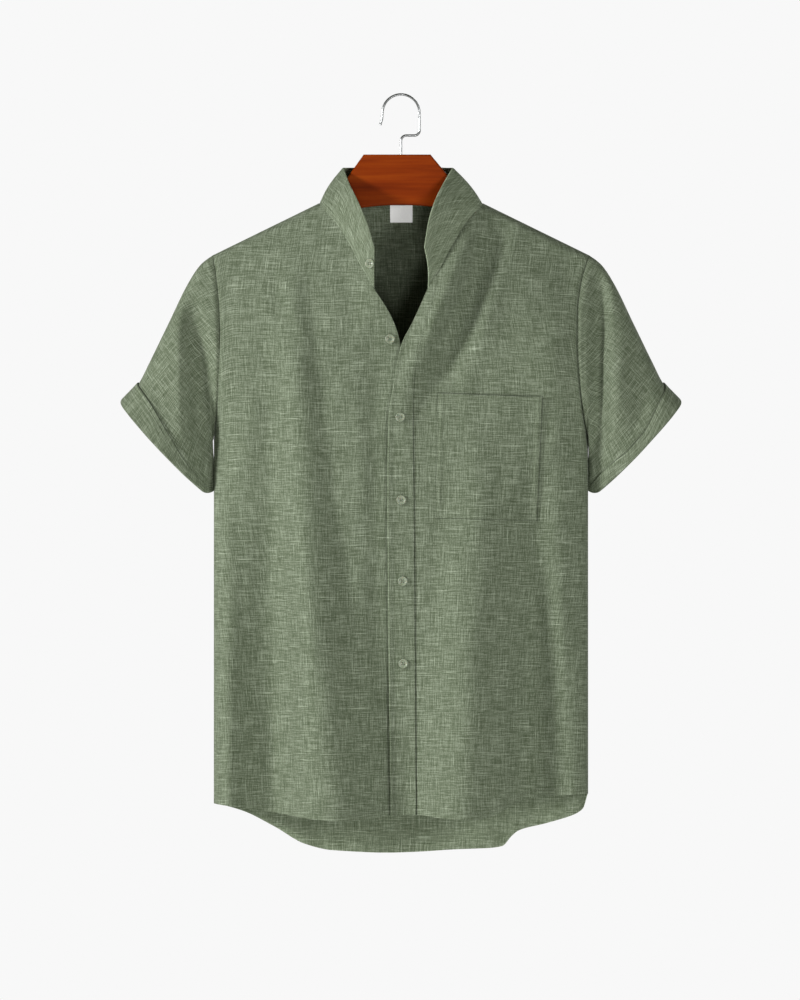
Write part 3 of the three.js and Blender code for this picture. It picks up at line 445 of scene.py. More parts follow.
def front_plan(side, edge_rows, band_rows):
    """Two maps of one front, from shares to x and h: its folded band and the rest of the panel."""
    sign = SIGN[side]

    def upright(rows):
        x_of = through(rows, "h", "x")
        low = hem_height["front"](rows["x"][0])
        top = rows["h"][-1]

        def line(v):
            h = lerp(low, top, v)
            return np.stack([x_of(h), h], -1)

        return line

    near, middle = upright(edge_rows), upright(band_rows)
    start, stop = (float(line(np.zeros(1))[0, 0]) for line in (near, middle))
    far = side_curve(side, float(hem_height["front"](sign * HALF_CHEST)))

    def main_top(s):
        neck = on_neckline("front", sign, lerp(BAND_NECK_SHARE, 1, clamp(s / NECK_TURN)))
        x = lerp(sign * NECK_X, sign * SHOULDER_TIP, (s - NECK_TURN) / (1 - NECK_TURN))
        shoulder = np.stack([x, shoulder_height(x)], -1)
        return np.where((s <= NECK_TURN)[..., None], neck, shoulder)

    def band(s, v):
        top = lambda share: on_neckline("front", sign, BAND_NECK_SHARE * share)
        return patch(hem_line("front", start, stop), top, near, middle, s, v)

    def main(s, v):
        return patch(hem_line("front", stop, sign * HALF_CHEST), main_top, middle, far, s, v)

    return band, main


def back_plan(s, v):
    """The back, from shares to x and h; s runs from the wearer's right to the left."""

    def top(share):
        across = np.abs(2 * share - 1)
        sign = np.sign(2 * share - 1)
        neck = on_neckline("back", 1, clamp(across / BACK_NECK_TURN))
        x = lerp(NECK_X, SHOULDER_TIP, (across - BACK_NECK_TURN) / (1 - BACK_NECK_TURN))
        shoulder = np.stack([x, shoulder_height(x)], -1)
        half = np.where((across <= BACK_NECK_TURN)[..., None], neck, shoulder)
        return half * np.stack([sign, np.ones(np.shape(sign))], -1)

    low = hem_line("back", -HALF_CHEST, HALF_CHEST)
    sides = [side_curve(side, float(hem_height["back"](SIGN[side] * HALF_CHEST))) for side in SIGN]
    return patch(low, top, sides[1], sides[0], s, v)


# Relief of sewing: how far a panel stands out beside its seams and hems, from the distance to them
HEM_FOLD = 7.5
HEM_RISE = 0.5
STITCH_SINK = 0.25


def hem_relief(distance):
    """The folded hem stands out, and its stitch line sinks in."""
    folded = HEM_RISE * (1 - smooth(HEM_FOLD - 1, HEM_FOLD + 0.6, distance))
    return folded - STITCH_SINK * hill(distance - HEM_FOLD, 1.2)


def seam_relief(distance, groove, roll):
    """A seam lies in a groove, beside which the cloth rolls up a little."""
    return roll * hill(distance - 4.5, 3) - groove * hill(distance, 1.5)


def turned_edge(distance, radius=1.4):
    """How far a folded edge drops as it turns under, from the distance to the edge."""
    inside = clamp(1 - distance / radius)
    return 0.85 * radius * (1 - np.sqrt(1 - inside**2))


def armhole_reach(x, h):
    """How far inside the armhole's seam a place lies, seen from the front."""
    return np.where(x > 0, armhole_x["left"](h), armhole_x["right"](h)) - np.abs(x)


def panel_point(face, x, h, sink=0):
    """A point on a body panel, with the relief of its hem and of its armhole and side seams."""
    hem = hem_relief(h - hem_height[face](x))
    armhole = seam_relief(armhole_reach(x, h), 1.3, 0.3)
    side = -0.35 * hill(np.abs(HALF_CHEST - np.abs(x)), 0.4)
    relief = hem + np.where(h > ARMPIT_HEIGHT, armhole, side)
    return body_point(face, x, h, sink - relief * clamp(plain_depth(face, x, h) / RELIEF_FADE))


def drawn_back(radius, distance):
    """How far a rounded corner draws back at a distance from the corner."""
    rest = np.maximum(radius - distance, 0)
    return radius - np.sqrt(radius**2 - rest**2)


def sleeve_point(side, face, along, around, moved=0):
    """A point on the outside of a sleeve; around is 0 at its upper outline and 1 at its lower one."""

    def section(w):
        at = {column: through(SLEEVE, "along", column)(w) for column in SLEEVE if column != "along"}
        share = (1 + np.cos(np.pi * around)) / 2
        length = np.hypot(at["top_x"] - at["low_x"], at["top_h"] - at["low_h"])
        corners = drawn_back(CORNER_LOW, share * length) + drawn_back(CORNER_TOP, (1 - share) * length)
        bulge = HEM_BULGE * w**3 * np.sin(np.pi * around) - corners * w**8
        x = lerp(at["low_x"], at["top_x"], share) + SLEEVE_WAY[0] * bulge
        h = lerp(at["low_h"], at["top_h"], share) + SLEEVE_WAY[1] * bulge
        return x, h, at[face] * np.sin(np.pi * around**SLEEVE_CREST[face])

    x, h, depth = section(along)
    start_x, start_h, start_depth = section(np.zeros(np.shape(along)))
    seam_h = lerp(tip_height, ARMPIT_HEIGHT, (1 - np.cos(np.pi * around)) / 2)
    seam_x = armhole_x[side](seam_h)
    seam = 1 - smooth(0, 0.5, along)
    plain = depth + (plain_depth(face, seam_x, seam_h) - start_depth) * seam
    place_x = SIGN[side] * (x + (seam_x - start_x) * seam)
    point = cloth_point(face, place_x, h + (seam_h - start_h) * seam, np.maximum(plain, 0))
    if np.any(moved):
        point = point + sleeve_normal(side, face, along, around) * np.asarray(moved)[..., None]
    return point


def sleeve_normal(side, face, along, around):
    """The direction out of the sleeve's cloth."""
    step = 0.01
    w = np.maximum(along, 0.02)
    k = clamp(around)
    down = sleeve_point(side, face, np.minimum(w + step, 1), k) - sleeve_point(side, face, w - step, k)
    lower, upper = np.minimum(k + step, 1), np.maximum(k - step, 0)
    about = sleeve_point(side, face, w, lower) - sleeve_point(side, face, w, upper)
    normal = unit(np.cross(down, about)) * (SIGN[side] * FACING[face])
    at_end = (k < 0.001) | (k > 0.999)
    normal[..., 1] = np.where(at_end, 0, normal[..., 1])
    return unit(normal)


def neck_seam(side, along):
    """The neck seam: along is 0 at the centre back and 1 at the collar's front end."""
    back = on_neckline("back", SIGN[side], clamp(along / COLLAR_NECK_SHARE))
    front = on_neckline("front", SIGN[side], clamp((1 - along) / (1 - COLLAR_NECK_SHARE)))
    at_back = (along <= COLLAR_NECK_SHARE)[..., None]
    behind = body_point("back", back[..., 0], back[..., 1])
    before = body_point("front", front[..., 0], front[..., 1])
    return np.where(at_back, behind, before)


def collar_point(side, along, up):
    """A point on the outside of the collar; up is 0 at the seam and 1 at the top edge."""
    seam = neck_seam(side, along)
    top_x = SIGN[side] * through(COLLAR, "along", side)(along)
    top_h = through(COLLAR, "along", "h")(along) - HANG_HEIGHT
    top = np.stack([top_x, through(COLLAR, "along", "y")(along), top_h], -1)
    point = lerp(seam, top, up[..., None])
    outward = unit(np.stack([point[..., 0], point[..., 1] * 1.4 + 10, np.zeros(np.shape(along))], -1))
    bow = COLLAR_BOW * np.sin(np.pi * up) * smooth(0, 0.25, 1 - along)
    wave = COLLAR_WAVE[side] * np.sin(np.pi * up) * smooth(0.9, 1, along)
    return point + outward * bow[..., None] + np.stack([wave, 0 * wave, 0 * wave], -1)


def collar_normal(side, along, up):
    """The direction out of the collar's cloth."""
    step = 0.01
    ahead, behind = np.minimum(along + step, 1), np.maximum(along - step, 0)
    higher, lower = np.minimum(up + step, 1), np.maximum(up - step, 0)
    across = collar_point(side, ahead, up) - collar_point(side, behind, up)
    rise = collar_point(side, along, higher) - collar_point(side, along, lower)
    return unit(np.cross(rise, across)) * SIGN[side]


# Materials


def linear(code):
    """An sRGB hex colour as the linear colour that Blender mixes."""
    channels = [int(code[i : i + 2], 16) / 255 for i in (1, 3, 5)]
    curve = [c / 12.92 if c <= 0.04045 else ((c + 0.055) / 1.055) ** 2.4 for c in channels]
    return (*curve, 1)


def fill_inputs(tree, node, inputs):
    """Gives each named input of a node its value or its link."""
    for name, value in inputs.items():
        if isinstance(value, bpy.types.NodeSocket):
            tree.links.new(value, node.inputs[name])
        else:
            node.inputs[name].default_value = value


def add_node(tree, kind, inputs=None, **settings):
    """Adds a shader node with its settings, and a value or a link for each named input."""
    made = tree.nodes.new("ShaderNode" + kind)
    for name, value in settings.items():
        setattr(made, name, value)
    fill_inputs(tree, made, inputs or {})
    return made


def new_material(name):
    """An empty material with its shader; returns the material, its tree and the shader."""
    material = bpy.data.materials.new(name)
    material.use_nodes = True
    tree = material.node_tree
    shader = next(n for n in tree.nodes if n.type == "BSDF_PRINCIPLED")
    return material, tree, shader


def threads(tree, place, across, along, turned, shift, low, high):
    """Uneven threads, 0 to 1: noise stretched along the warp or, turned, along the weft."""
    scale = (1 / along, 1 / across, 1) if turned else (1 / across, 1 / along, 1)
    laid = add_node(tree, "Mapping", {"Vector": place, "Scale": scale, "Location": (shift, shift / 2, 0)})
    noise = add_node(
        tree, "TexNoise", {"Vector": laid.outputs[0], "Scale": 1, "Detail": 2, "Roughness": 0.55},
        noise_dimensions="2D",
    )
    level = {"Value": noise.outputs["Fac"], "From Min": low, "From Max": high}
    return add_node(tree, "MapRange", level, interpolation_type="SMOOTHSTEP").outputs[0]


def linen_cloth(name, dark, middle, light):
    """Linen-look cotton slub, plain woven: matt, with pale thick slubs both ways between thinner dark
    threads. Real threads are about 0.5 mm apart, which is finer than the render shows, so they are
    drawn 1.0 to 1.2 mm wide, over a faint mottle."""
    material, tree, shader = new_material(name)
    place = add_node(tree, "UVMap", uv_map="weave").outputs[0]
    parts = [
        # across and along in metres, turned, shift, from, to, weight
        (0.0010, 0.024, False, 3.1, 0.30, 0.70, 0.26),
        (0.0010, 0.022, True, 7.7, 0.30, 0.70, 0.26),
        (0.0011, 0.036, False, 11.3, 0.62, 0.76, 0.32),
        (0.0011, 0.036, True, 19.9, 0.61, 0.75, 0.34),
        (0.0010, 0.012, False, 29.3, 0.60, 0.80, -0.24),
        (0.0010, 0.014, True, 37.1, 0.60, 0.80, -0.24),
        (0.0012, 0.100, True, 53.3, 0.64, 0.76, 0.26),
        (0.0016, 0.0022, False, 61.9, 0.30, 0.70, 0.14),
    ]
    total = None
    for across, along, turned, shift, low, high, weight in parts:
        level = threads(tree, place, across, along, turned, shift, low, high)
        scaled = add_node(tree, "Math", {0: level, 1: weight}, operation="MULTIPLY").outputs[0]
        if total is None:
            total = scaled
        else:
            total = add_node(tree, "Math", {0: total, 1: scaled}, operation="ADD").outputs[0]
    ramp = add_node(tree, "ValToRGB", {"Fac": total})
    stops = ramp.color_ramp.elements
    stops[0].position, stops[0].color = 0.0, linear(dark)
    stops[1].position, stops[1].color = 0.85, linear(light)
    centre = stops.new(0.34)
    centre.color = linear(middle)
    # Light and shade painted into the colour: each sheet's attribute makes turned edges paler and seams' nips
    # darker
    tone = add_node(tree, "Attribute", attribute_name="tone").outputs["Fac"]
    scale = add_node(tree, "Math", {0: tone, 1: 1.0}, operation="ADD").outputs[0]
    toned = add_node(tree, "VectorMath", {0: ramp.outputs["Color"], "Scale": scale}, operation="SCALE")
    bump = add_node(tree, "Bump", {"Height": total, "Distance": 0.0005, "Strength": 0.4})
    fill_inputs(tree, shader, {
        "Base Color": toned.outputs[0],
        "Normal": bump.outputs[0],
        "Roughness": 0.9,
        "Sheen Weight": 0.05,
        "Sheen Roughness": 0.6,
        "Specular IOR Level": 0.12,
    })
    return material


def sewing_thread():
    """Spun polyester thread, dyed to match: a little glossier and paler than the cloth."""
    material, tree, shader = new_material("spun polyester thread")
    place = add_node(tree, "TexCoord").outputs["Object"]
    noise = add_node(tree, "TexNoise", {"Vector": place, "Scale": 900, "Detail": 2})
    ramp = add_node(tree, "ValToRGB", {"Fac": noise.outputs["Fac"]})
    ramp.color_ramp.elements[0].color = linear("#667059")
    ramp.color_ramp.elements[1].color = linear("#949d88")
    fill_inputs(tree, shader, {"Base Color": ramp.outputs["Color"], "Roughness": 0.6})
    return material


def lacquered_wood():
    """Stained beech under satin lacquer: reddish brown, with fine darker grain along the hanger and a
    soft gloss over it."""
    material, tree, shader = new_material("stained and lacquered beech")
    place = add_node(tree, "TexCoord").outputs["Object"]
    long_grain = add_node(tree, "Mapping", {"Vector": place, "Scale": (9, 160, 210)})
    grain = add_node(
        tree, "TexNoise", {"Vector": long_grain.outputs[0], "Scale": 1, "Detail": 5, "Roughness": 0.6}
    )
    wide = add_node(tree, "Mapping", {"Vector": place, "Scale": (6, 40, 45)})
    bands = add_node(tree, "TexNoise", {"Vector": wide.outputs[0], "Scale": 1, "Detail": 2})
    mixed = add_node(
        tree, "Mix", {"Factor": 0.45, "A": grain.outputs["Fac"], "B": bands.outputs["Fac"]}, data_type="FLOAT"
    )
    ramp = add_node(tree, "ValToRGB", {"Fac": mixed.outputs["Result"]})
    stops = ramp.color_ramp.elements
    stops[0].position, stops[0].color = 0.3, linear("#672103")
    stops[1].position, stops[1].color = 0.7, linear("#9d450c")
    stops.new(0.5).color = linear("#863206")
    bump = add_node(tree, "Bump", {"Height": grain.outputs["Fac"], "Distance": 0.0002, "Strength": 0.3})
    fill_inputs(tree, shader, {
        "Base Color": ramp.outputs["Color"],
        "Normal": bump.outputs[0],
        "Roughness": 0.5,
        "Specular IOR Level": 0.06,
        "Coat Weight": 0.03,
        "Coat Roughness": 0.3,
    })
    return material


def bright_wire():
    """Nickel-plated steel wire, drawn and bent: a bright metal with faint lines along it."""
    material, tree, shader = new_material("nickel plated steel wire")
    place = add_node(tree, "TexCoord").outputs["Object"]
    drawn = add_node(tree, "Mapping", {"Vector": place, "Scale": (2500, 2500, 90)})
    noise = add_node(tree, "TexNoise", {"Vector": drawn.outputs[0], "Scale": 1, "Detail": 2})
    level = {"Value": noise.outputs["Fac"], "To Min": 0.2, "To Max": 0.38}
    rough = add_node(tree, "MapRange", level)
    look = {"Base Color": linear("#a9abac"), "Metallic": 1, "Roughness": rough.outputs[0]}
    fill_inputs(tree, shader, look)
    return material


def button_resin():
    """Cast polyester resin, turned and tumbled: pale grey-green with faint clouds and a satin gloss."""
    material, tree, shader = new_material("cast polyester button resin")
    place = add_node(tree, "TexCoord").outputs["Object"]
    clouds = add_node(tree, "TexNoise", {"Vector": place, "Scale": 260, "Detail": 3, "Distortion": 1.2})
    ramp = add_node(tree, "ValToRGB", {"Fac": clouds.outputs["Fac"]})
    stops = ramp.color_ramp.elements
    stops[0].position, stops[0].color = 0.3, linear("#788169")
    stops[1].position, stops[1].color = 0.7, linear("#98a18c")
    fill_inputs(tree, shader, {
        "Base Color": ramp.outputs["Color"],
        "Roughness": 0.3,
        "Subsurface Weight": 0.1,
        "Subsurface Scale": 0.001,
    })
    return material


def label_ribbon():
    """Woven satin ribbon, left blank: pale grey, with fine ribs across it."""
    material, tree, shader = new_material("woven satin label ribbon")
    place = add_node(tree, "UVMap", uv_map="weave").outputs[0]
    weft = threads(tree, place, 0.0006, 0.008, True, 5.3, 0.3, 0.7)
    warp = threads(tree, place, 0.0006, 0.008, False, 9.1, 0.3, 0.7)
    both = add_node(tree, "Math", {0: weft, 1: warp}, operation="ADD").outputs[0]
    half = add_node(tree, "Math", {0: both, 1: 0.5}, operation="MULTIPLY").outputs[0]
    ramp = add_node(tree, "ValToRGB", {"Fac": half})
    ramp.color_ramp.elements[0].color = linear("#dcddd8")
    ramp.color_ramp.elements[1].color = linear("#f4f4f1")
    bump = add_node(tree, "Bump", {"Height": half, "Distance": 0.0002, "Strength": 0.4})
    # Painted light: the ribbon glows faintly, which makes it bright in the shade inside the neck
    fill_inputs(tree, shader, {
        "Base Color": ramp.outputs["Color"],
        "Normal": bump.outputs[0],
        "Roughness": 0.5,
        "Emission Color": linear("#ffffff"),
        "Emission Strength": 0.27,
    })
    return material


LINEN = linen_cloth("linen look cotton slub", "#4c5640", "#6c7661", "#a4ae99")
THREAD = sewing_thread()
WOOD = lacquered_wood()
WIRE_METAL = bright_wire()
RESIN = button_resin()
RIBBON = label_ribbon()


# Making pieces


def finish_piece(piece, slot, *nodes):
    """Gives a piece its body and hides the solids that it stands for; slot is not used."""
    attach(piece, "root")
    if nodes:
        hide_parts(*nodes)


def in_scene(name, data):
    """An object at the origin for a mesh, a curve, a light or a camera."""
    made = bpy.data.objects.new(name, data)
    bpy.context.scene.collection.objects.link(made)
    return made


def mesh_object(name, mesh, look):
    """A smooth-shaded object with one material."""
    mesh.materials.append(look)
    mesh.polygons.foreach_set("use_smooth", [True] * len(mesh.polygons))
    return in_scene(name, mesh)


def new_object(name, shape, look):
    """Makes a bmesh a smooth-shaded object, with one material."""
    mesh = bpy.data.meshes.new(name)
    shape.to_mesh(mesh)
    shape.free()
    return mesh_object(name, mesh, look)


def finished_mesh(made):
    """The mesh of an object after its modifiers, or of a curve with its thickness."""
    return bpy.data.meshes.new_from_object(made.evaluated_get(bpy.context.evaluated_depsgraph_get()))


def unrolled(points, upright):
    """Where each point lies on the flat cloth: distances along each row and up each column.
    Where upright, threads stay level and upright as seen from the front."""
    across = np.diff(points, axis=1)
    up = np.diff(points, axis=0)
    if upright:
        across = across * np.array([1, 1, 0])
        up = up * np.array([0, 1, 1])
    width = np.cumsum(np.linalg.norm(across, axis=-1), axis=1)
    height = np.cumsum(np.linalg.norm(up, axis=-1), axis=0)
    width = np.pad(width, ((0, 0), (1, 0)))
    height = np.pad(height, ((1, 0), (0, 0)))
    if upright:
        way = 1 if points[0, -1, 0] > points[0, 0, 0] else -1
        width = points[:, :1, 0] + way * width
        height = points[:1, :, 2] + height
    return np.stack([width, height], -1)


def cloth_sheet(name, shape, columns, rows, thickness, core=(0, 0), upright=True, look=None, joined=False,
                tone=None):
    """A sheet of cloth from a grid. shape(s, v) gives its outside in millimetres for shares across and
    up, and core is the place that it faces away from. The last argument, a function of s and v, is light
    and shade painted into the cloth's colour: above 0 a painted highlight, as on a turned edge that catches
    the light, and below 0 painted shade, as in the nip of a seam, finer than the mesh.
    Returns the object and the size of its cut."""
    s_line, v_line = np.linspace(0, 1, columns + 1), np.linspace(0, 1, rows + 1)
    shares = np.meshgrid(s_line, v_line)
    points = shape(*shares)
    # Painted light and shade for each corner, kept as an attribute that scales the cloth's colour
    tones = tone(*shares) if tone else np.zeros(points.shape[:2])
    flat = unrolled(points, upright)
    sheet = bmesh.new()
    layer = sheet.loops.layers.uv.new("weave")
    tone_layer = sheet.verts.layers.float.new("tone")
    bmesh.ops.create_grid(sheet, x_segments=columns, y_segments=rows, size=0.5)
    places = np.array([corner.co for corner in sheet.verts])
    i = np.rint((places[:, 1] + 0.5) * rows).astype(int)
    j = np.rint((places[:, 0] + 0.5) * columns).astype(int)
    for corner, place, painted_shading_value in zip(sheet.verts, points[i, j] * MM, tones[i, j]):
        corner.co = place
        corner[tone_layer] = painted_shading_value
    on_cloth = flat[i, j] * MM
    for face in sheet.faces:
        for loop in face.loops:
            loop[layer].uv = on_cloth[loop.vert.index]
    if joined:
        bmesh.ops.remove_doubles(sheet, verts=sheet.verts, dist=1e-6)
    bmesh.ops.recalc_face_normals(sheet, faces=sheet.faces)
    middle = Vector((core[0] * MM, core[1] * MM, 0))
    facing = 0
    for face in list(sheet.faces)[::37]:
        away = face.calc_center_median() - middle
        away.z = 0
        facing += face.normal.dot(away)
    if facing < 0:
        bmesh.ops.reverse_faces(sheet, faces=sheet.faces)
    area = sum(face.calc_area() for face in sheet.faces)
    made = new_object(name, sheet, look or LINEN)
    wall = made.modifiers.new("thickness", "SOLIDIFY")
    wall.thickness = thickness * MM
    wall.offset = -1
    edge = made.modifiers.new("rounded edge", "BEVEL")
    edge.width = min(EDGE_ROUND, thickness * 0.4) * MM
    edge.segments = 2
    edge.limit_method = "ANGLE"
    edge.angle_limit = math.radians(55)
    width = np.ptp(flat[..., 0]) * MM
    length = np.ptp(flat[..., 1]) * MM
    return made, (width, length), area


def cut_piece(name, node, rests_on, *grid, slot="cloth", seam=SEAM_ALLOWANCE, **finish):
    """A sheet of cloth that stands for a solid; grid and finish are those of cloth_sheet."""
    piece, size, area = cloth_sheet(name, *grid, **finish)
    finish_piece(piece, slot, node)


def closer_at_far_side(t):
    """Shares that come closer together towards 1, where the cloth turns the corner."""
    return 1 - (1 - t) ** 1.6


def closer_at_ends(t):
    """Shares that come closer together towards 0 and 1."""
    return t - 0.6 * np.sin(2 * np.pi * t) / (2 * np.pi)


# The share of a front's columns that lies in its band, and of the band's height that its own piece covers
BAND_SHARE = 0.13
BAND_TOP = 0.9985


def armhole_tone(x, h):
    """Painted shade in the nip of the armhole seams, where the panel's cloth is drawn darker."""
    return np.where(h > ARMPIT_HEIGHT, -0.45 * hill(armhole_reach(x, h), 0.9), 0)


def front_panel(side, plan, sink):
    """One front with its relief: the first columns lie under or in the band."""
    band, main = plan

    def place(s, v):
        rows = closer_at_ends(v)
        in_band = (s < BAND_SHARE)[..., None]
        rest = closer_at_far_side(clamp((s - BAND_SHARE) / (1 - BAND_SHARE)))
        plane = np.where(in_band, band(clamp(s / BAND_SHARE), rows), main(rest, rows))
        return plane[..., 0], plane[..., 1]

    def shape(s, v):
        x, h = place(s, v)
        return panel_point("front", x, h, sink(x, h))

    # Painted shade in the nip of the armhole seams and, on the left front, a painted highlight along its open
    # edge
    def tone(s, v):
        edge = BAND_WIDTH * clamp(s / BAND_SHARE)
        painted_edge_highlight = 0.6 * hill(edge, 1.2) if side == "left" else 0
        return armhole_tone(*place(s, v)) + painted_edge_highlight

    cut_piece(f"{side}_front", f"front_{side}", ["hanger"], shape, 120, 260, PANEL_CLOTH, tone=tone)


def back_panel():
    def place(s, v):
        turn = 2 * s - 1
        across = (1 + np.sign(turn) * closer_at_far_side(np.abs(turn))) / 2
        plane = back_plan(across, closer_at_ends(v))
        return plane[..., 0], plane[..., 1]

    def shape(s, v):
        return panel_point("back", *place(s, v))

    # Painted light on the inside of the back below the front hem, where the front shades it, a painted
    # highlight along the hem's edge, and painted shade high up inside the neck
    def tone(s, v):
        x, h = place(s, v)
        edge = h - hem_height["back"](x)
        return 0.55 * (1 - smooth(60, 110, h)) + 0.12 * hill(edge, 1.2) - 0.08 * smooth(520, 600, h)

    cut_piece("back_panel", "back", ["hanger"], shape, 200, 250, PANEL_CLOTH, tone=tone)


def both_faces(side, along, turn, moved=0):
    """A point round a sleeve: turn is -1 under the arm in front, 0 on top and 1 under the arm behind."""
    around = np.abs(turn)
    front = sleeve_point(side, "front", along, around, moved)
    back = sleeve_point(side, "back", along, around, moved)
    return np.where((turn < 0)[..., None], front, back)


def sleeve(side):
    def shape(s, v):
        turn = 2 * s - 1
        along = 1 - v
        near = along * SLEEVE_LENGTH
        rolled = seam_relief(near, 1.0, 1.1) * np.sin(np.pi * clamp(np.abs(turn))) ** 0.5
        return both_faces(side, along, turn, rolled)

    cut_piece(
        f"{side}_sleeve", f"sleeve_{side}", [f"{side}_front", "back_panel"], shape, 150, 100, PANEL_CLOTH,
        core=(SIGN[side] * SLEEVE_MIDDLE, 0), upright=False, joined=True,
    )


def cuff(side):
    """The turned-up end: up the outside from the fold, and a little way back up the inside."""
    width_of = through(CUFF_WIDTH, "round", side)
    drop = unit(np.array([SIGN[side] * SLEEVE_WAY[0], 0, SLEEVE_WAY[1]])) * CUFF_DROP

    def shape(s, v):
        turn = 2 * s - 1
        around = np.abs(turn)
        outer = clamp(v / CUFF_OUTER)
        inner = clamp((v - CUFF_OUTER) / CUFF_INNER)
        fold = smooth(0, 0.45, inner)
        tucked = clamp((inner - 0.3) / 0.7)
        up = width_of(around) / SLEEVE_LENGTH * (1 - outer) + CUFF_TUCK / SLEEVE_LENGTH * tucked
        snug = 1 - 0.8 * smooth(0.8, 1, around)
        outside = (CUFF_LIFT + CUFF_FLARE * outer) * snug - turned_edge(outer * CUFF_ROUND_SPAN, 1.6)
        dropped = smooth(0.6, 1, outer) * (1 - tucked)
        point = both_faces(side, 1 - up, turn, lerp(outside, -1.6, fold))
        return point + drop * (dropped + 0.9 * np.sin(np.pi * fold))[..., None]

    # Painted shade along the cuff's free edge and a painted highlight just inside it
    def tone(s, v):
        edge = v / CUFF_OUTER * CUFF_PAINTED_EDGE_SPAN
        return -0.5 * hill(edge, 0.9) + 0.2 * hill(edge - 2.4, 0.9)

    cut_piece(
        f"{side}_cuff", f"cuff_{side}", [f"{side}_sleeve"], shape, 150, 60, CUFF_CLOTH,
        core=(SIGN[side] * CUFF_MIDDLE, 0), upright=False, joined=True, tone=tone,
    )


def whole_collar(of, turn, up):
    """A point or a normal of the whole collar: turn is -1 at the wearer's right end and 1 at the left."""
    left, right = (of(side, np.abs(turn), up) for side in SIGN)
    return np.where((turn >= 0)[..., None], left, right)


def collar():
    def place(s, v):
        turn, up = 2 * closer_at_ends(s) - 1, closer_at_ends(v)
        edge = np.minimum((1 - up) * COLLAR_HEIGHT, (1 - np.abs(turn)) * COLLAR_HALF_LENGTH)
        return turn, up, edge

    def shape(s, v):
        turn, up, edge = place(s, v)
        drop = whole_collar(collar_normal, turn, up) * turned_edge(edge, 1.2)[..., None]
        return whole_collar(collar_point, turn, up) - drop

    # Painted highlights along the collar's turned edges, painted shade in the nip at the neck seam on the
    # wearer's left near the front, and painted light that brightens most of the wearer's left half and the
    # front of the right half
    def tone(s, v):
        turn, up, edge = place(s, v)
        nip_shade = hill(up * COLLAR_HEIGHT, 0.9) * smooth(0.48, 0.54, turn) * (1 - smooth(0.66, 0.74, turn))
        ends = 0.28 * smooth(0.15, 0.4, turn) + 0.12 * smooth(0.5, 0.7, -turn)
        return 0.5 * hill(edge, 0.9) - 0.5 * nip_shade + ends

    cut_piece(
        "stand_collar", "collar", ["left_front", "right_front", "back_panel"], shape, 280, 40, COLLAR_CLOTH,
        upright=False, tone=tone,
    )


def placket(band):
    def place(s, v):
        across = closer_at_ends(s)
        plane = band(across, closer_at_ends(v) * BAND_TOP)
        return across, plane[..., 0], plane[..., 1]

    def shape(s, v):
        across, x, h = place(s, v)
        edge = np.minimum(across, 1 - across) * BAND_WIDTH
        stitched = 0.3 * hill(edge - EDGE_STITCH, 0.9)
        relief = hem_relief(h - hem_height["front"](x)) - stitched - turned_edge(edge)
        merged = (BAND_LIFT - 0.2) * smooth(530, 590, h) * smooth(0.35, 1, across)
        return lifted_point(x, h, BAND_LIFT + relief - merged)

    # A painted highlight along the band's open edge with faint painted shade just inside it, and a painted
    # shadow along its stitched-down edge below the neck
    def tone(s, v):
        across, _, h = place(s, v)
        near, far = across * BAND_WIDTH, (1 - across) * BAND_WIDTH
        nip_shade = 0.75 * (1 - smooth(530, 570, h)) * hill(far, 0.9)
        return 0.5 * hill(near, 0.9) - 0.14 * hill(near - 4, 3) - nip_shade

    cut_piece("button_band", "placket", ["left_front"], shape, 36, 260, BAND_CLOTH, tone=tone)


def pocket_plan(s, v):
    """The pocket, from shares to x and h."""
    return [lerp(lerp(a, b, s), lerp(c, d, s), v) for a, b, c, d in POCKET.values()]


def pocket():
    def place(s, v):
        """Shares across and up, and the distances to the near and far side, the low edge and the mouth."""
        across, up = closer_at_ends(s), closer_at_ends(v)
        sides = across * POCKET_WIDTH, (1 - across) * POCKET_WIDTH
        return across, up, *sides, up * POCKET_HEIGHT, (1 - up) * POCKET_HEIGHT

    def shape(s, v):
        across, up, near, far, low, mouth = place(s, v)
        edge = np.minimum(np.minimum(near, far), low)
        relief = 0.7 * hill(edge - 4.2, 2.6) - 0.5 * hill(edge - EDGE_STITCH, 1) + 0.9 * hill(mouth, 8)
        hem = 0.35 * (1 - smooth(POCKET_MOUTH_HEM - 1, POCKET_MOUTH_HEM + 1, mouth))
        relief = relief + hem - turned_edge(np.minimum(edge, mouth), 1.6)
        return lifted_point(*pocket_plan(across, up), POCKET_LIFT + relief)

    # Painted shadow lines along the pocket's sides, low edge and mouth, darkest on the far side and fading
    # before the mouth's far end, with a painted highlight just inside the far side
    def tone(s, v):
        across, _, near, far, low, mouth = place(s, v)
        sides = -0.15 * hill(near, 0.9) - 0.65 * hill(far, 0.9) + 0.16 * hill(far - 2.6, 1)
        return sides - 0.2 * hill(low, 0.8) - 0.5 * hill(mouth, 0.8) * (1 - smooth(0.85, 0.93, across))

    cut_piece("chest_pocket", "pocket", ["left_front"], shape, 110, 130, BAND_CLOTH, tone=tone)


def neck_label():
    x, width, height, top = LABEL["x"], LABEL["width"], LABEL["height"], LABEL["top"]

    def shape(s, v):
        place_x = x + width * (s - 0.5)
        place_h = top - height * (1 - v)
        curl = 0.8 * (1 - v) ** 2
        return lifted_point(place_x, place_h, -1.9 - curl, face="back")

    cut_piece(
        "neck_label_blank", "label", ["back_panel"], shape, 30, 20, RIBBON_CLOTH,
        slot="label", seam=RIBBON_ALLOWANCE, core=(0, 200), look=RIBBON,
    )


# Sewing: each stitch is a short fat thread, laid along a line that is given by its points
STITCH_PITCH = 2.6
STITCH_LENGTH = 1.9
STITCH_RADIUS = 0.26


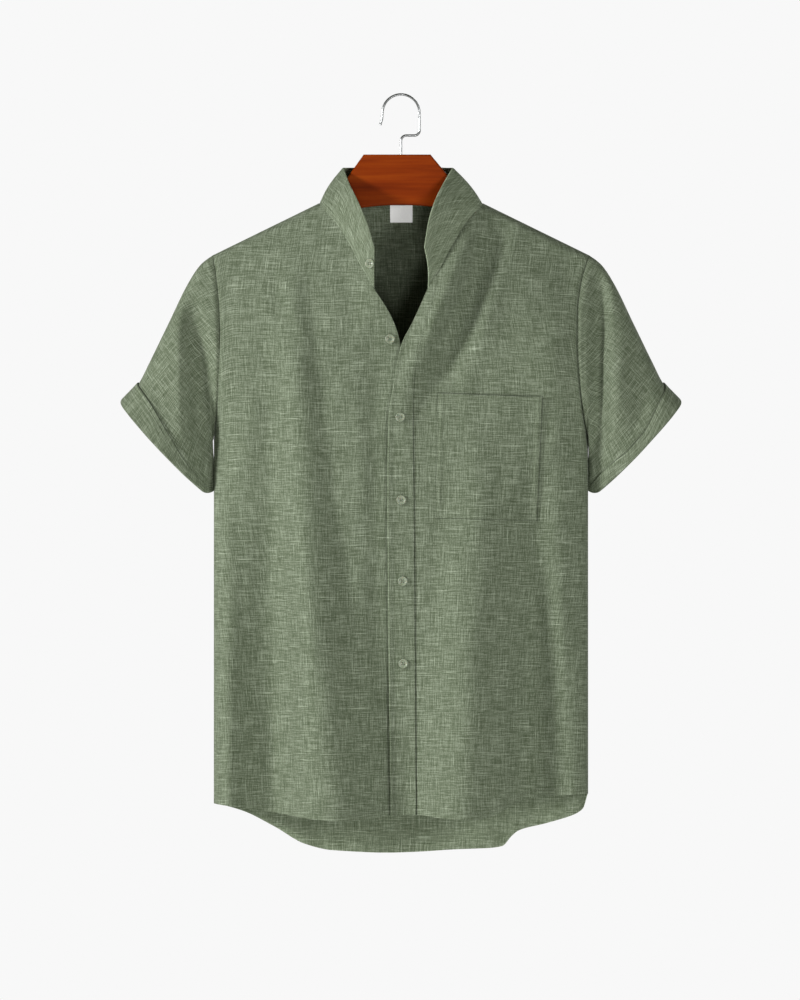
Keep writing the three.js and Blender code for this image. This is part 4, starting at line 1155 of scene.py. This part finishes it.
def stitch_line(rows, points, normals):
    """Adds the places of stitches along a line to rows, as matrices."""
    steps = np.linalg.norm(np.diff(points, axis=0), axis=1)
    walked = np.concatenate([[0], np.cumsum(steps)])
    count = int(walked[-1] / STITCH_PITCH)
    for k in range(count):
        at = (k + 0.5) * walked[-1] / count
        here, there = at - STITCH_LENGTH / 2, at + STITCH_LENGTH / 2
        ends = [np.array([np.interp(t, walked, points[:, axis]) for axis in range(3)]) for t in (here, there)]
        normal = unit(np.array([np.interp(at, walked, normals[:, axis]) for axis in range(3)]))
        along = unit(ends[1] - ends[0])
        side = unit(np.cross(normal, along))
        up = np.cross(along, side)
        centre = (ends[0] + ends[1]) / 2 + up * STITCH_RADIUS * 0.4
        place = np.eye(4)
        place[:3, 0] = along * STITCH_LENGTH / 2 * MM
        place[:3, 1] = side * STITCH_RADIUS * MM
        place[:3, 2] = up * STITCH_RADIUS * MM
        place[:3, 3] = centre * MM
        rows.append(place)


def stitch_along(rows, face, x, h, lift=0):
    """Stitches along a line on the body that is given by its x and h."""
    stitch_line(rows, lifted_point(x, h, lift, face=face), cloth_normal(face, x, h))


def sewn(name, rows):
    """One mesh of many stitches."""
    bm = bmesh.new()
    bmesh.ops.create_icosphere(bm, subdivisions=1, radius=1)
    corners = np.array([corner.co for corner in bm.verts])
    faces = np.array([[corner.index for corner in face.verts] for face in bm.faces])
    bm.free()
    places = np.array(rows)
    all_corners = np.einsum("kij,nj->kni", places[:, :3, :3], corners) + places[:, None, :3, 3]
    all_faces = faces[None] + (np.arange(len(rows)) * len(corners))[:, None, None]
    mesh = bpy.data.meshes.new(name)
    mesh.from_pydata(all_corners.reshape(-1, 3).tolist(), [], all_faces.reshape(-1, 3).tolist())
    finish_piece(mesh_object(name, mesh, THREAD), "cloth")


def band_stitches(band):
    """Edge stitching down both sides of the band."""
    rows = []
    v = np.linspace(0.004, 0.99, 500)
    inset = EDGE_STITCH / BAND_WIDTH
    for share in (inset, 1 - inset):
        plane = band(np.full(v.shape, share), v)
        stitch_along(rows, "front", plane[:, 0], plane[:, 1], BAND_LIFT - 0.3)
    sewn("band_stitching", rows)


def pocket_stitches():
    rows = []
    inset_s, inset_v = EDGE_STITCH / POCKET_WIDTH, EDGE_STITCH / POCKET_HEIGHT
    down = np.linspace(0.995, inset_v, 120)
    across = np.linspace(inset_s, 1 - inset_s, 100)
    lines = [
        (np.full(120, inset_s), down),
        (across, np.full(100, inset_v)),
        (np.full(120, 1 - inset_s), down[::-1]),
        (across, np.full(100, 1 - POCKET_MOUTH_HEM / POCKET_HEIGHT)),
    ]
    for s, v in lines:
        stitch_along(rows, "front", *pocket_plan(s, v), POCKET_LIFT - 0.2)
    sewn("pocket_stitching", rows)


def hem_stitches():
    rows = []
    spans = [("front", 20, 213.5), ("front", -213.5, -18), ("back", -213.5, 213.5)]
    for face, x_from, x_to in spans:
        x = np.linspace(x_from, x_to, 300)
        stitch_along(rows, face, x, hem_height[face](x) + HEM_FOLD)
    sewn("hem_stitching", rows)


def collar_stitches():
    rows = []
    reach = 0.985
    inset = 2.4 / COLLAR_HEIGHT
    turn = np.linspace(-reach, reach, 700)
    up = np.linspace(0.06, 0.94, 60)
    lines = [(turn, np.full(turn.shape, share)) for share in (inset, 1 - inset)]
    lines += [(np.full(up.shape, end), up) for end in (-reach, reach)]
    for line in lines:
        stitch_line(rows, whole_collar(collar_point, *line), whole_collar(collar_normal, *line))
    sewn("collar_stitching", rows)


def armhole_stitches():
    rows = []
    for side, sign in SIGN.items():
        for face in ("front", "back"):
            h = np.linspace(ARMPIT_HEIGHT + 12, tip_height - 9, 200)
            stitch_along(rows, face, sign * (armhole_x[side](h) - 5), h)
    sewn("armhole_stitching", rows)


# Buttons: their four holes lie on a ring, and a buttonhole is a pair of rows of close stitches
BUTTON_RING, BUTTON_HOLE = 1.45, 0.62
HOLE_LENGTH = 14.5


def turned_to(normal, point):
    """A matrix that stands a shape's Z along a normal, at a point in millimetres."""
    up = Vector(normal).normalized()
    turn = up.to_track_quat("Z", "Y").to_matrix().to_4x4()
    return Matrix.Translation(Vector(point) * MM) @ turn


def button_mesh():
    """A four-hole button turned with a raised rim and a dished middle, standing on Z 0."""
    radius, thick = BUTTON_RADIUS, BUTTON_THICK
    profile = [(0, 0), (radius - 0.9, 0), (radius - 0.25, 0.35), (radius, 1.0), (radius - 0.12, 1.7),
               (radius - 0.55, thick), (radius - 1.1, thick), (radius - 1.6, thick - 0.35),
               (radius - 2.1, thick - 0.62), (0, thick - 0.7)]
    body = bmesh.new()
    corners = [body.verts.new((x * MM, 0, z * MM)) for x, z in profile]
    edges = [body.edges.new(pair) for pair in zip(corners, corners[1:])]
    bmesh.ops.spin(
        body, geom=corners + edges, cent=(0, 0, 0), axis=(0, 0, 1), angle=2 * math.pi, steps=48,
        use_merge=True,
    )
    bmesh.ops.remove_doubles(body, verts=body.verts, dist=1e-6)
    bmesh.ops.recalc_face_normals(body, faces=body.faces)
    blank = new_object("button_blank", body, RESIN)
    drill = bmesh.new()
    for angle in range(4):
        way = math.pi / 2 * angle + math.pi / 4
        ring = BUTTON_RING * MM
        spot = Matrix.Translation((ring * math.cos(way), ring * math.sin(way), thick / 2 * MM))
        bmesh.ops.create_cone(
            drill, cap_ends=True, segments=14, radius1=BUTTON_HOLE * MM, radius2=BUTTON_HOLE * MM,
            depth=6 * MM, matrix=spot,
        )
    cutter = new_object("button_drill", drill, RESIN)
    cut = blank.modifiers.new("holes", "BOOLEAN")
    cut.operation = "DIFFERENCE"
    cut.object = cutter
    cut.solver = "EXACT"
    ready = finished_mesh(blank)
    for spare in (blank, cutter):
        bpy.data.objects.remove(spare)
    return ready


def button_places():
    """Each button's name, seat and direction."""
    places = []
    for k, (x, h, on_band) in enumerate(zip(*FRONT_BUTTONS.values())):
        x, h = np.array([x]), np.array([h])
        if on_band:
            seat = lifted_point(x, h, np.array([BAND_LIFT + 0.5]))
        else:
            seat = lifted_point(x, h, np.array([0.9]), underlap_sink(x, h))
        places.append((f"button_{k + 1}", seat[0], cloth_normal("front", x, h)[0]))
    along, up = (np.array([value]) for value in COLLAR_BUTTON)
    normal = collar_normal("right", along, up)[0]
    seat = collar_point("right", along, up)[0] + normal * 0.45
    places.append(("button_collar", seat, normal))
    return places


def thread_bar(turned, centre, reach, radius):
    """The place of one short thread on a button or a buttonhole, in that one's own millimetres."""
    place = np.diag([reach[0] + radius, reach[1] + radius, radius * 1.2, 1 / MM]) * MM
    place[:3, 3] = np.array(centre) * MM
    return np.array(turned) @ place


def buttons():
    mesh = button_mesh()
    rows = []
    for name, seat, normal in button_places():
        turned = turned_to(normal, seat)
        made = in_scene("sewn_" + name, mesh.copy())
        made.data.transform(turned)
        finish_piece(made, "button", name)
        for x in (-1.03, 1.03):
            rows.append(thread_bar(turned, (x, 0, BUTTON_THICK - 0.55), (0, 1.25), 0.34))
    sewn("button_threads", rows)


def buttonholes():
    """Upright buttonholes in the band behind its buttons: two rows of close stitches and their ends."""
    rows = []
    for x, h, on_band in zip(*FRONT_BUTTONS.values()):
        if not on_band:
            continue
        for step in np.arange(-HOLE_LENGTH / 2, HOLE_LENGTH / 2 + 0.01, 0.5):
            reach = 0.6 if abs(step) > HOLE_LENGTH / 2 - 0.8 else 0.42
            for offset in (-0.75, 0.75):
                spot_x, spot_h = np.array([x + offset]), np.array([h + step])
                normal = cloth_normal("front", spot_x, spot_h)[0]
                seat = lifted_point(spot_x, spot_h, np.array([BAND_LIFT + 0.05]))[0]
                rows.append(thread_bar(turned_to(normal, seat), (0, 0, 0), (reach, 0), 0.24))
    sewn("buttonhole_stitching", rows)


# Hanger and hook
HANGER_THICK, HANGER_ROUND = 12, 2.6
HANGER_TOP = 802
HANGER_TOP_X = {"left": 34, "right": 43}
HANGER_FOOT_X = {"left": 75, "right": 80}
HANGER_UNDER = 2.7
HANGER_TIP, HANGER_TIP_RADIUS = 201, 11
HANGER_MIDDLE_DROP, HANGER_SHOULDER_DROP, HANGER_SHOULDER_X = 744, 739.5, 52


def hanger_outline():
    """The hanger seen from the front, as x and h, going round it."""
    arm_top = lambda x: float(shoulder_height(x)) - HANGER_UNDER
    up_angle = math.atan2(1, SHOULDER_SLOPE)
    centre_x = HANGER_TIP - HANGER_TIP_RADIUS
    centre_h = arm_top(centre_x) - HANGER_TIP_RADIUS * math.hypot(1, SHOULDER_SLOPE)
    half = [(0, HANGER_MIDDLE_DROP)]
    for k in range(1, 9):
        t = k / 8
        h = lerp(HANGER_MIDDLE_DROP, HANGER_SHOULDER_DROP, t * t)
        half.append((HANGER_SHOULDER_X * t, h))
    for k in range(13):
        angle = up_angle - math.pi + math.pi * k / 12
        half.append((centre_x + HANGER_TIP_RADIUS * math.cos(angle),
                     centre_h + HANGER_TIP_RADIUS * math.sin(angle)))
    block = {
        side: [(HANGER_FOOT_X[side], arm_top(HANGER_FOOT_X[side])), (HANGER_TOP_X[side], HANGER_TOP)]
        for side in SIGN
    }
    other = [(-x, h) for x, h in reversed(half[1:] + block["right"])]
    return half + block["left"] + other


def hanger_body():
    bm = bmesh.new()
    outline = hanger_outline()
    corners = [bm.verts.new((x * MM, -HANGER_THICK / 2 * MM, (h - HANG_HEIGHT) * MM)) for x, h in outline]
    front = bm.faces.new(corners)
    grown = bmesh.ops.extrude_face_region(bm, geom=[front])
    moved = [item for item in grown["geom"] if isinstance(item, bmesh.types.BMVert)]
    bmesh.ops.translate(bm, verts=moved, vec=(0, HANGER_THICK * MM, 0))
    bmesh.ops.recalc_face_normals(bm, faces=bm.faces)
    rims = [edge for edge in bm.edges if abs(edge.verts[0].co.y - edge.verts[1].co.y) < 1e-6]
    bmesh.ops.bevel(
        bm, geom=rims, offset=HANGER_ROUND * MM, segments=5, profile=0.5, affect="EDGES", material=-1,
        clamp_overlap=True,
    )
    made = new_object("hanger_body", bm, WOOD)
    flat = made.modifiers.new("flat faces", "WEIGHTED_NORMAL")
    flat.keep_sharp = True
    finish_piece(made, "wood", "hanger")


WIRE = {"radius": 1.4, "rise": 818, "jog": 824, "out": 21.4, "crown": 850, "bend": 6, "tail": 14, "hole": 22}


def wire_hook():
    """The hook: straight up out of the wood, sideways, up again and over the rail."""
    points = [(0, HANGER_TOP - WIRE["hole"] + 0.3), (0, HANGER_TOP), (0, WIRE["rise"] - WIRE["bend"] / 2)]

    def corner(x, h, start, stop):
        for k in range(7):
            angle = lerp(start, stop, k / 6)
            points.append((x + WIRE["bend"] * math.cos(angle), h + WIRE["bend"] * math.sin(angle)))

    corner(WIRE["bend"], WIRE["jog"] - WIRE["bend"], math.pi, math.pi / 2)
    corner(WIRE["out"] - WIRE["bend"], WIRE["jog"] + WIRE["bend"], -math.pi / 2, 0)
    for k in range(25):
        angle = math.pi * k / 24
        points.append((WIRE["out"] * math.cos(angle), WIRE["crown"] + WIRE["out"] * math.sin(angle)))
    points.append((-WIRE["out"] - 0.6, WIRE["crown"] - WIRE["tail"] / 2))
    points.append((-WIRE["out"] - 2.6, WIRE["crown"] - WIRE["tail"]))
    line = bpy.data.curves.new("wire_line", "CURVE")
    line.dimensions = "3D"
    line.bevel_depth = WIRE["radius"] * MM
    line.bevel_resolution = 5
    line.use_fill_caps = True
    spline = line.splines.new("POLY")
    spline.points.add(len(points) - 1)
    for spot, (x, h) in zip(spline.points, points):
        spot.co = (x * MM, 0, (h - HANG_HEIGHT) * MM, 1)
    bent = in_scene("wire_line", line)
    mesh = finished_mesh(bent)
    bpy.data.objects.remove(bent)
    mesh.materials.clear()
    finish_piece(mesh_object("wire_hook", mesh, WIRE_METAL), "metal", "hook")


# Camera, lights and surroundings
CAMERA_PLACE = (-0.00115, -12.0, -0.466)
CAMERA_LENS, CAMERA_SENSOR = 374.9, 36
LIGHTS = {
    # place, height of the aim, size in metres, power in watts
    "key": ((-3.3, -1.4, 0.4), -0.45, 0.6, 132),
    "fill": ((2.3, -3.3, 0.1), -0.45, 1.4, 57),
    "low": ((0.3, -2.8, -1.25), -0.84, 0.6, 15),
    "rear": ((1.2, 2.6, 0.8), -0.45, 1.8, 30),
}


def camera():
    """Looks straight along +Y, as the photograph does."""
    lens = bpy.data.cameras.new("camera")
    lens.sensor_width = CAMERA_SENSOR
    lens.lens = CAMERA_LENS
    made = in_scene("camera", lens)
    made.location = CAMERA_PLACE
    made.rotation_euler = (math.pi / 2, 0, 0)
    bpy.context.scene.camera = made


def area_light(name, place, aim_z, size, power):
    light = bpy.data.lights.new(name, "AREA")
    light.shape = "DISK"
    light.size = size
    light.energy = power
    made = in_scene(name, light)
    made.location = place
    made.rotation_euler = (Vector((0, 0, aim_z)) - Vector(place)).to_track_quat("-Z", "Y").to_euler()


def studio():
    """A bright even backdrop, a faint light all round and four soft lights, the strongest at the viewer's
    left."""
    for name, light in LIGHTS.items():
        area_light(name, *light)
    world = bpy.data.worlds.new("studio")
    bpy.context.scene.world = world
    world.use_nodes = True
    tree = world.node_tree
    tree.nodes.clear()
    rays = add_node(tree, "LightPath")
    seen = add_node(tree, "Background", {"Color": linear("#f8f8f8"), "Strength": 1.0})
    lit = add_node(tree, "Background", {"Color": linear("#f4f8e2"), "Strength": 0.095})
    mixed = add_node(
        tree, "MixShader", {0: rays.outputs["Is Camera Ray"], 1: lit.outputs[0], 2: seen.outputs[0]}
    )
    add_node(tree, "OutputWorld", {"Surface": mixed.outputs[0]})


def floor():
    """A pale studio floor below the hanging shirt, just out of the photograph's view."""
    bm = bmesh.new()
    bmesh.ops.create_circle(bm, cap_ends=True, segments=96, radius=2.4)
    bmesh.ops.translate(bm, verts=bm.verts, vec=(0, 0, -1.35))
    material, tree, shader = new_material("painted studio floor")
    place = add_node(tree, "TexCoord").outputs["Object"]
    noise = add_node(tree, "TexNoise", {"Vector": place, "Scale": 3, "Detail": 3})
    ramp = add_node(tree, "ValToRGB", {"Fac": noise.outputs["Fac"]})
    ramp.color_ramp.elements[0].color = linear("#efefed")
    ramp.color_ramp.elements[1].color = linear("#f6f6f4")
    fill_inputs(tree, shader, {"Base Color": ramp.outputs["Color"], "Roughness": 0.8})
    made = new_object("studio_floor", bm, material)


bpy.context.scene.view_settings.view_transform = "Standard"
camera()
studio()
floor()

left_plan = front_plan("left", LEFT_EDGE, LEFT_BAND)
right_plan = front_plan("right", RIGHT_EDGE, RIGHT_BAND)
front_panel("left", left_plan, lambda x, h: 0)
front_panel("right", right_plan, underlap_sink)
back_panel()
for side in SIGN:
    sleeve(side)
    cuff(side)
collar()
placket(left_plan[0])
pocket()
neck_label()
band_stitches(left_plan[0])
pocket_stitches()
hem_stitches()
collar_stitches()
armhole_stitches()
buttons()
buttonholes()
hanger_body()
wire_hook()
